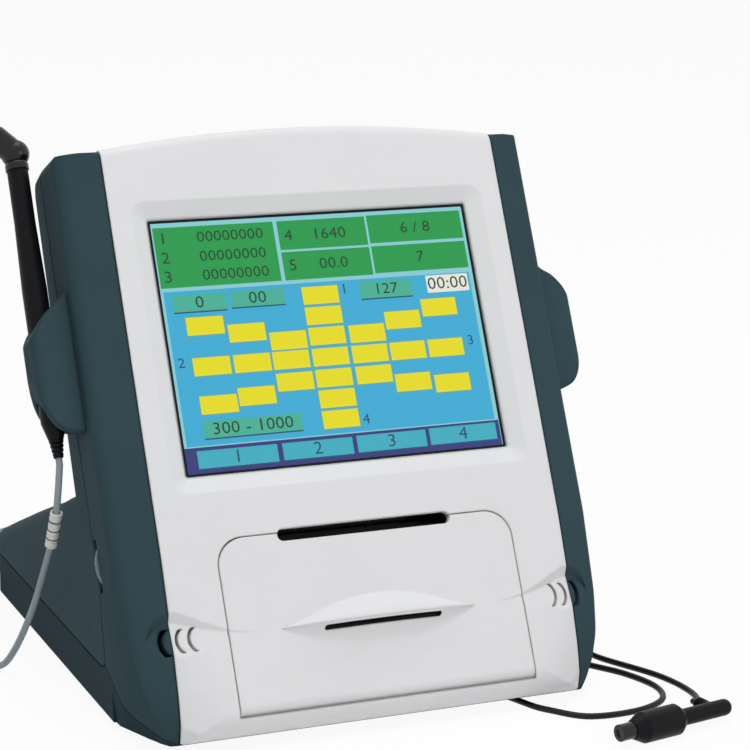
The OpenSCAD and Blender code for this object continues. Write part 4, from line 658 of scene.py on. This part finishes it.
# %% Yellow thickness boxes
BOX_W, BOX_H, RIM_W = 13.2, 6.2, 0.7
CELLS = [(57.2, 28.4), (57.2, 35.6), (57.2, 42.8), (57.2, 50.2), (57.2, 57.6), (57.2, 64.8), (57.2, 72.0),
         (14.4, 50.2), (28.8, 50.2), (42.8, 50.2), (71.8, 50.2), (86.0, 50.2), (100.4, 50.2),
         (43.0, 43.4), (72.0, 43.0), (28.6, 39.6), (86.0, 39.2), (14.2, 36.2), (100.4, 35.6),
         (43.0, 57.8), (72.0, 57.6), (28.6, 61.6), (86.0, 61.4), (14.8, 63.4), (100.6, 62.8)]
FACE_TURN = (math.pi / 2 - FACE_TILT, 0.0, 0.0)
grown("picture_cell_rims", [on_lcd(u, v, KEY_LIFT) for u, v in CELLS], box_tree, box_keys,
      {"Width": (BOX_W + RIM_W) * MM, "Height": (BOX_H + RIM_W) * MM, "Turn": FACE_TURN},
      LIT["outline"], "scanner")
box_cells = grown("picture_cells", [on_lcd(u, v, CELL_LIFT) for u, v in CELLS], box_tree, box_keys,
                  {"Width": BOX_W * MM, "Height": BOX_H * MM, "Turn": FACE_TURN}, LIT["yellow"], "scanner")
print("boxes:", len(box_cells.data.polygons))

# %% [markdown]
# Plain figures stand where the real screen has words. A text object is the quickest way to make them, and
# it is turned into a mesh before it is laid on the sloping panel, so that its place is in its vertices.

# %% Figures on the screen
FIGURE_SIZE, FIGURE_WIDTH = 1.35, 1.12


def figures(name, lines, material):
    joined = bmesh.new()
    for words, u, v, height in lines:
        text = bpy.data.curves.new(name, "FONT")
        text.body, text.size, text.align_x, text.align_y = words, height * FIGURE_SIZE, "CENTER", "CENTER"
        text.resolution_u = 2
        holder = put(name + "_text", text)
        flat = bpy.data.meshes.new_from_object(holder.evaluated_get(bpy.context.evaluated_depsgraph_get()))
        for vertex in flat.vertices:
            vertex.co = on_lcd(u + vertex.co.x * FIGURE_WIDTH, v - vertex.co.y, FIGURE_LIFT)
        joined.from_mesh(flat)
        bpy.data.objects.remove(holder)
    mesh = bpy.data.meshes.new(name)
    joined.to_mesh(mesh)
    joined.free()
    mesh.materials.clear()
    mesh.materials.append(material)
    thing = put(name, mesh)
    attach(thing, "scanner")


figures("header_figures", [("1", 4, 5.4, 4.2), ("00000000", 28, 5.4, 4.0), ("2", 4, 12.2, 4.2),
                           ("00000000", 28, 12.2, 4.0), ("3", 4, 18.8, 4.2), ("00000000", 28, 18.8, 4.0),
                           ("4", 49, 6.8, 4.2), ("1640", 64, 6.8, 4.2), ("5", 49, 17.4, 4.2),
                           ("00.0", 64, 17.4, 4.2), ("6 / 8", 96.5, 6.4, 4.2), ("7", 96.5, 17.2, 4.2)],
        LIT["dark_green"])
figures("key_figures", [("1", 18.6, 81.6, 4.6), ("2", 47.3, 81.5, 4.6), ("3", 74.4, 81.3, 4.6),
                        ("4", 101.2, 81.1, 4.6)], LIT["ink"])
figures("button_figures", [("0", 13.5, 28.1, 4.4), ("00", 34.3, 27.8, 4.4), ("127", 81.7, 27.8, 4.0),
                           ("300 - 1000", 25.5, 71.7, 4.4)], LIT["dark_green"])
figures("clock_figures", [("00:00", 105.2, 27.3, 4.6)], LIT["deep"])
figures("field_marks", [("1", 66.2, 27.0, 3.6), ("2", 3.9, 48.6, 3.6), ("3", 110.2, 48.4, 3.6),
                        ("4", 66.4, 73.0, 3.6)], LIT["ink"])
print("figures laid on the screen")

# %% [markdown]
# The white sleeve on the grey lead carries small ribs and dark ticks, and the biometry probe's strain relief
# has ribs too. A second tree sets rings along a line: a round bead is swept round a hoop, each point is a
# place, and one turn lays them all square to the line.

# %% A tree for ribs
HOOP_SIDES, BEAD_SIDES = 28, 8
rib_tree, given, rib_keys = tree_with("rings_on_points", "Reach", "Bead")
hoop = add(rib_tree, "GeometryNodeCurvePrimitiveCircle", {
    "Radius": given.outputs["Reach"], "Resolution": HOOP_SIDES})
bead = add(rib_tree, "GeometryNodeCurvePrimitiveCircle", {
    "Radius": given.outputs["Bead"], "Resolution": BEAD_SIDES})
ring = add(rib_tree, "GeometryNodeCurveToMesh", {
    "Curve": hoop.outputs["Curve"], "Profile Curve": bead.outputs["Curve"]})
round_ring = add(rib_tree, "GeometryNodeSetShadeSmooth", {"Geometry": ring.outputs["Mesh"]})
one_on_each(rib_tree, given, round_ring.outputs["Geometry"])


def ribs(name, start, end, count, reach, bead_r, material, body):
    turn = (end - start).to_track_quat("Z", "Y").to_euler()
    places = [spot(*start.lerp(end, (i + 0.5) / count)) for i in range(count)]
    return grown(name, places, rib_tree, rib_keys,
                 {"Reach": reach * MM, "Bead": bead_r * MM, "Turn": tuple(turn)}, material, body)


print("tree:", rib_tree.name)

# %% [markdown]
# The CAD model draws each lead with two steps between way points, and the sleeve sits between two of those
# places, so the same places are worked out again here. The ribs of the relief start just off the handle.

# %% Ribs on the sleeve and the strain relief
CAD_STEPS, SLEEVE_FROM, SLEEVE_TO, TICK_INSET = 2, 4, 6, 0.12
RIB_FIRST, RIB_LAST = 0.4, 4.2
dark_tick = surface("printed_dark_tick", "#3C4347", 0.6, spread=0.1)
coarse = [PEN_TAIL] + smooth([PEN_TAIL - UP_FACE * PEN_LEAD_D] + [Vector(p) for p in PEN_WAY], CAD_STEPS)
sleeve_from, sleeve_to = coarse[SLEEVE_FROM], coarse[SLEEVE_TO]
tick_from, tick_to = sleeve_from.lerp(sleeve_to, TICK_INSET), sleeve_from.lerp(sleeve_to, 1 - TICK_INSET)
ribs("sleeve_ribs", sleeve_from, sleeve_to, count=9, reach=1.98, bead_r=0.16, material=white_acetal,
     body="scanner")
ribs("sleeve_ticks", tick_from, tick_to, count=3, reach=2.02, bead_r=0.2, material=dark_tick, body="scanner")
relief_from = scan_point(RELIEF_AT, HANDLE_D / 2 + RIB_FIRST)
relief_to = scan_point(RELIEF_AT, HANDLE_D / 2 + RIB_LAST)
ribs("relief_ribs", relief_from, relief_to, count=4, reach=2.1, bead_r=0.3, material=black_abs,
     body="biometry_probe")
print("ribs grown")

# %% [markdown]
# The photograph has a white ground with only a faint shadow. A world bright enough to look white would also
# wash out the scanner, so the Light Path node tells two kinds of ray apart: those that are seen, by the
# camera, in a shine or through glass, and those that only carry light.

# %% What counts as seen


def seen_rays(tree):
    path = add(tree, "ShaderNodeLightPath").outputs
    seen = path["Is Camera Ray"]
    for ray in ("Is Glossy Ray", "Is Transmission Ray"):
        seen = add(tree, "ShaderNodeMath", {0: seen, 1: path[ray]}, operation="MAXIMUM").outputs[0]
    return seen


print("ray helper ready")

# %% [markdown]
# The floor is a sheet of white paper. To seen rays it is mostly a plain white glow, so it melts into the
# ground behind it, and the small share that stays paper keeps the scanner's shadow.

# %% Floor
FLOOR_R = 3.0
FIBRE_MM, FIBRE_RELIEF_MM = 3, 0.02
PAPER_WHITE, SEEN_WHITE = 0.93, 0.93
paper_floor, tree = new_finish("seamless_white_paper")
where = add(tree, "ShaderNodeTexCoord").outputs["Object"]
fibre = add(tree, "ShaderNodeTexNoise", {"Vector": where, "Scale": 1 / (FIBRE_MM * MM)})
relief = add(tree, "ShaderNodeBump", {"Height": fibre.outputs["Fac"], "Distance": FIBRE_RELIEF_MM * MM})
diffuse = add(tree, "ShaderNodeBsdfDiffuse", {
    "Color": [PAPER_WHITE, PAPER_WHITE, PAPER_WHITE, 1], "Normal": relief.outputs["Normal"]})
white = add(tree, "ShaderNodeEmission", {"Color": [1, 1, 1, 1], "Strength": 1.0})
share = add(tree, "ShaderNodeMath", {0: seen_rays(tree), 1: SEEN_WHITE}, operation="MULTIPLY")
mixed = add(tree, "ShaderNodeMixShader", {0: share.outputs[0], 1: diffuse.outputs[0], 2: white.outputs[0]})
add(tree, "ShaderNodeOutputMaterial", {"Surface": mixed.outputs[0]})

floor_mesh = bpy.data.meshes.new("floor")
floor_mesh.from_pydata([(-FLOOR_R, -FLOOR_R, 0), (FLOOR_R, -FLOOR_R, 0), (FLOOR_R, FLOOR_R, 0),
                        (-FLOOR_R, FLOOR_R, 0)], [], [(0, 1, 2, 3)])
floor_mesh.materials.append(paper_floor)
floor = put("floor", floor_mesh)
print("floor laid")

# %% [markdown]
# The world is the rest of the room. It lights the scanner evenly with a weak, slightly cool glow, and seen
# rays meet pure white instead.

# %% World
ROOM_LIGHT = 0.32
world = bpy.data.worlds.new("studio")
bpy.context.scene.world = world
world.use_nodes = True
tree = world.node_tree
tree.nodes.clear()
room = add(tree, "ShaderNodeBackground", {"Color": [0.97, 0.985, 1.0, 1], "Strength": ROOM_LIGHT})
backdrop = add(tree, "ShaderNodeBackground", {"Color": [1, 1, 1, 1], "Strength": 1.0})
mixed = add(tree, "ShaderNodeMixShader", {0: seen_rays(tree), 1: room.outputs[0], 2: backdrop.outputs[0]})
add(tree, "ShaderNodeOutputWorld", {"Surface": mixed.outputs[0]})
print("world:", world.name)

# %% [markdown]
# Three soft lamps, with places in metres and power in watts, give the shape its light and shade. The key
# lamp hangs high, so that the lip and the screen's frame show their relief. It is hidden from mirrors, as
# its reflection would lie across the touch glass.

# %% Lamps


def lamp(name, place, aim, watts, size):
    light = bpy.data.lights.new(name, "AREA")
    light.energy, light.size = watts, size
    thing = put(name, light)
    thing.location = place
    thing.rotation_euler = (Vector(aim) - Vector(place)).to_track_quat("-Z", "Y").to_euler()
    return thing


BODY_MIDDLE = (0, 0, 0.1)
key = lamp("key", (-0.15, -0.75, 1.85), BODY_MIDDLE, watts=16, size=0.6)
key.visible_glossy = False
lamp("fill", (0.9, -1.5, 0.7), BODY_MIDDLE, watts=3.5, size=0.8)
lamp("top", (0.1, 0.3, 1.7), (0, 0, 0), watts=7, size=1.2)
print("lamps set")
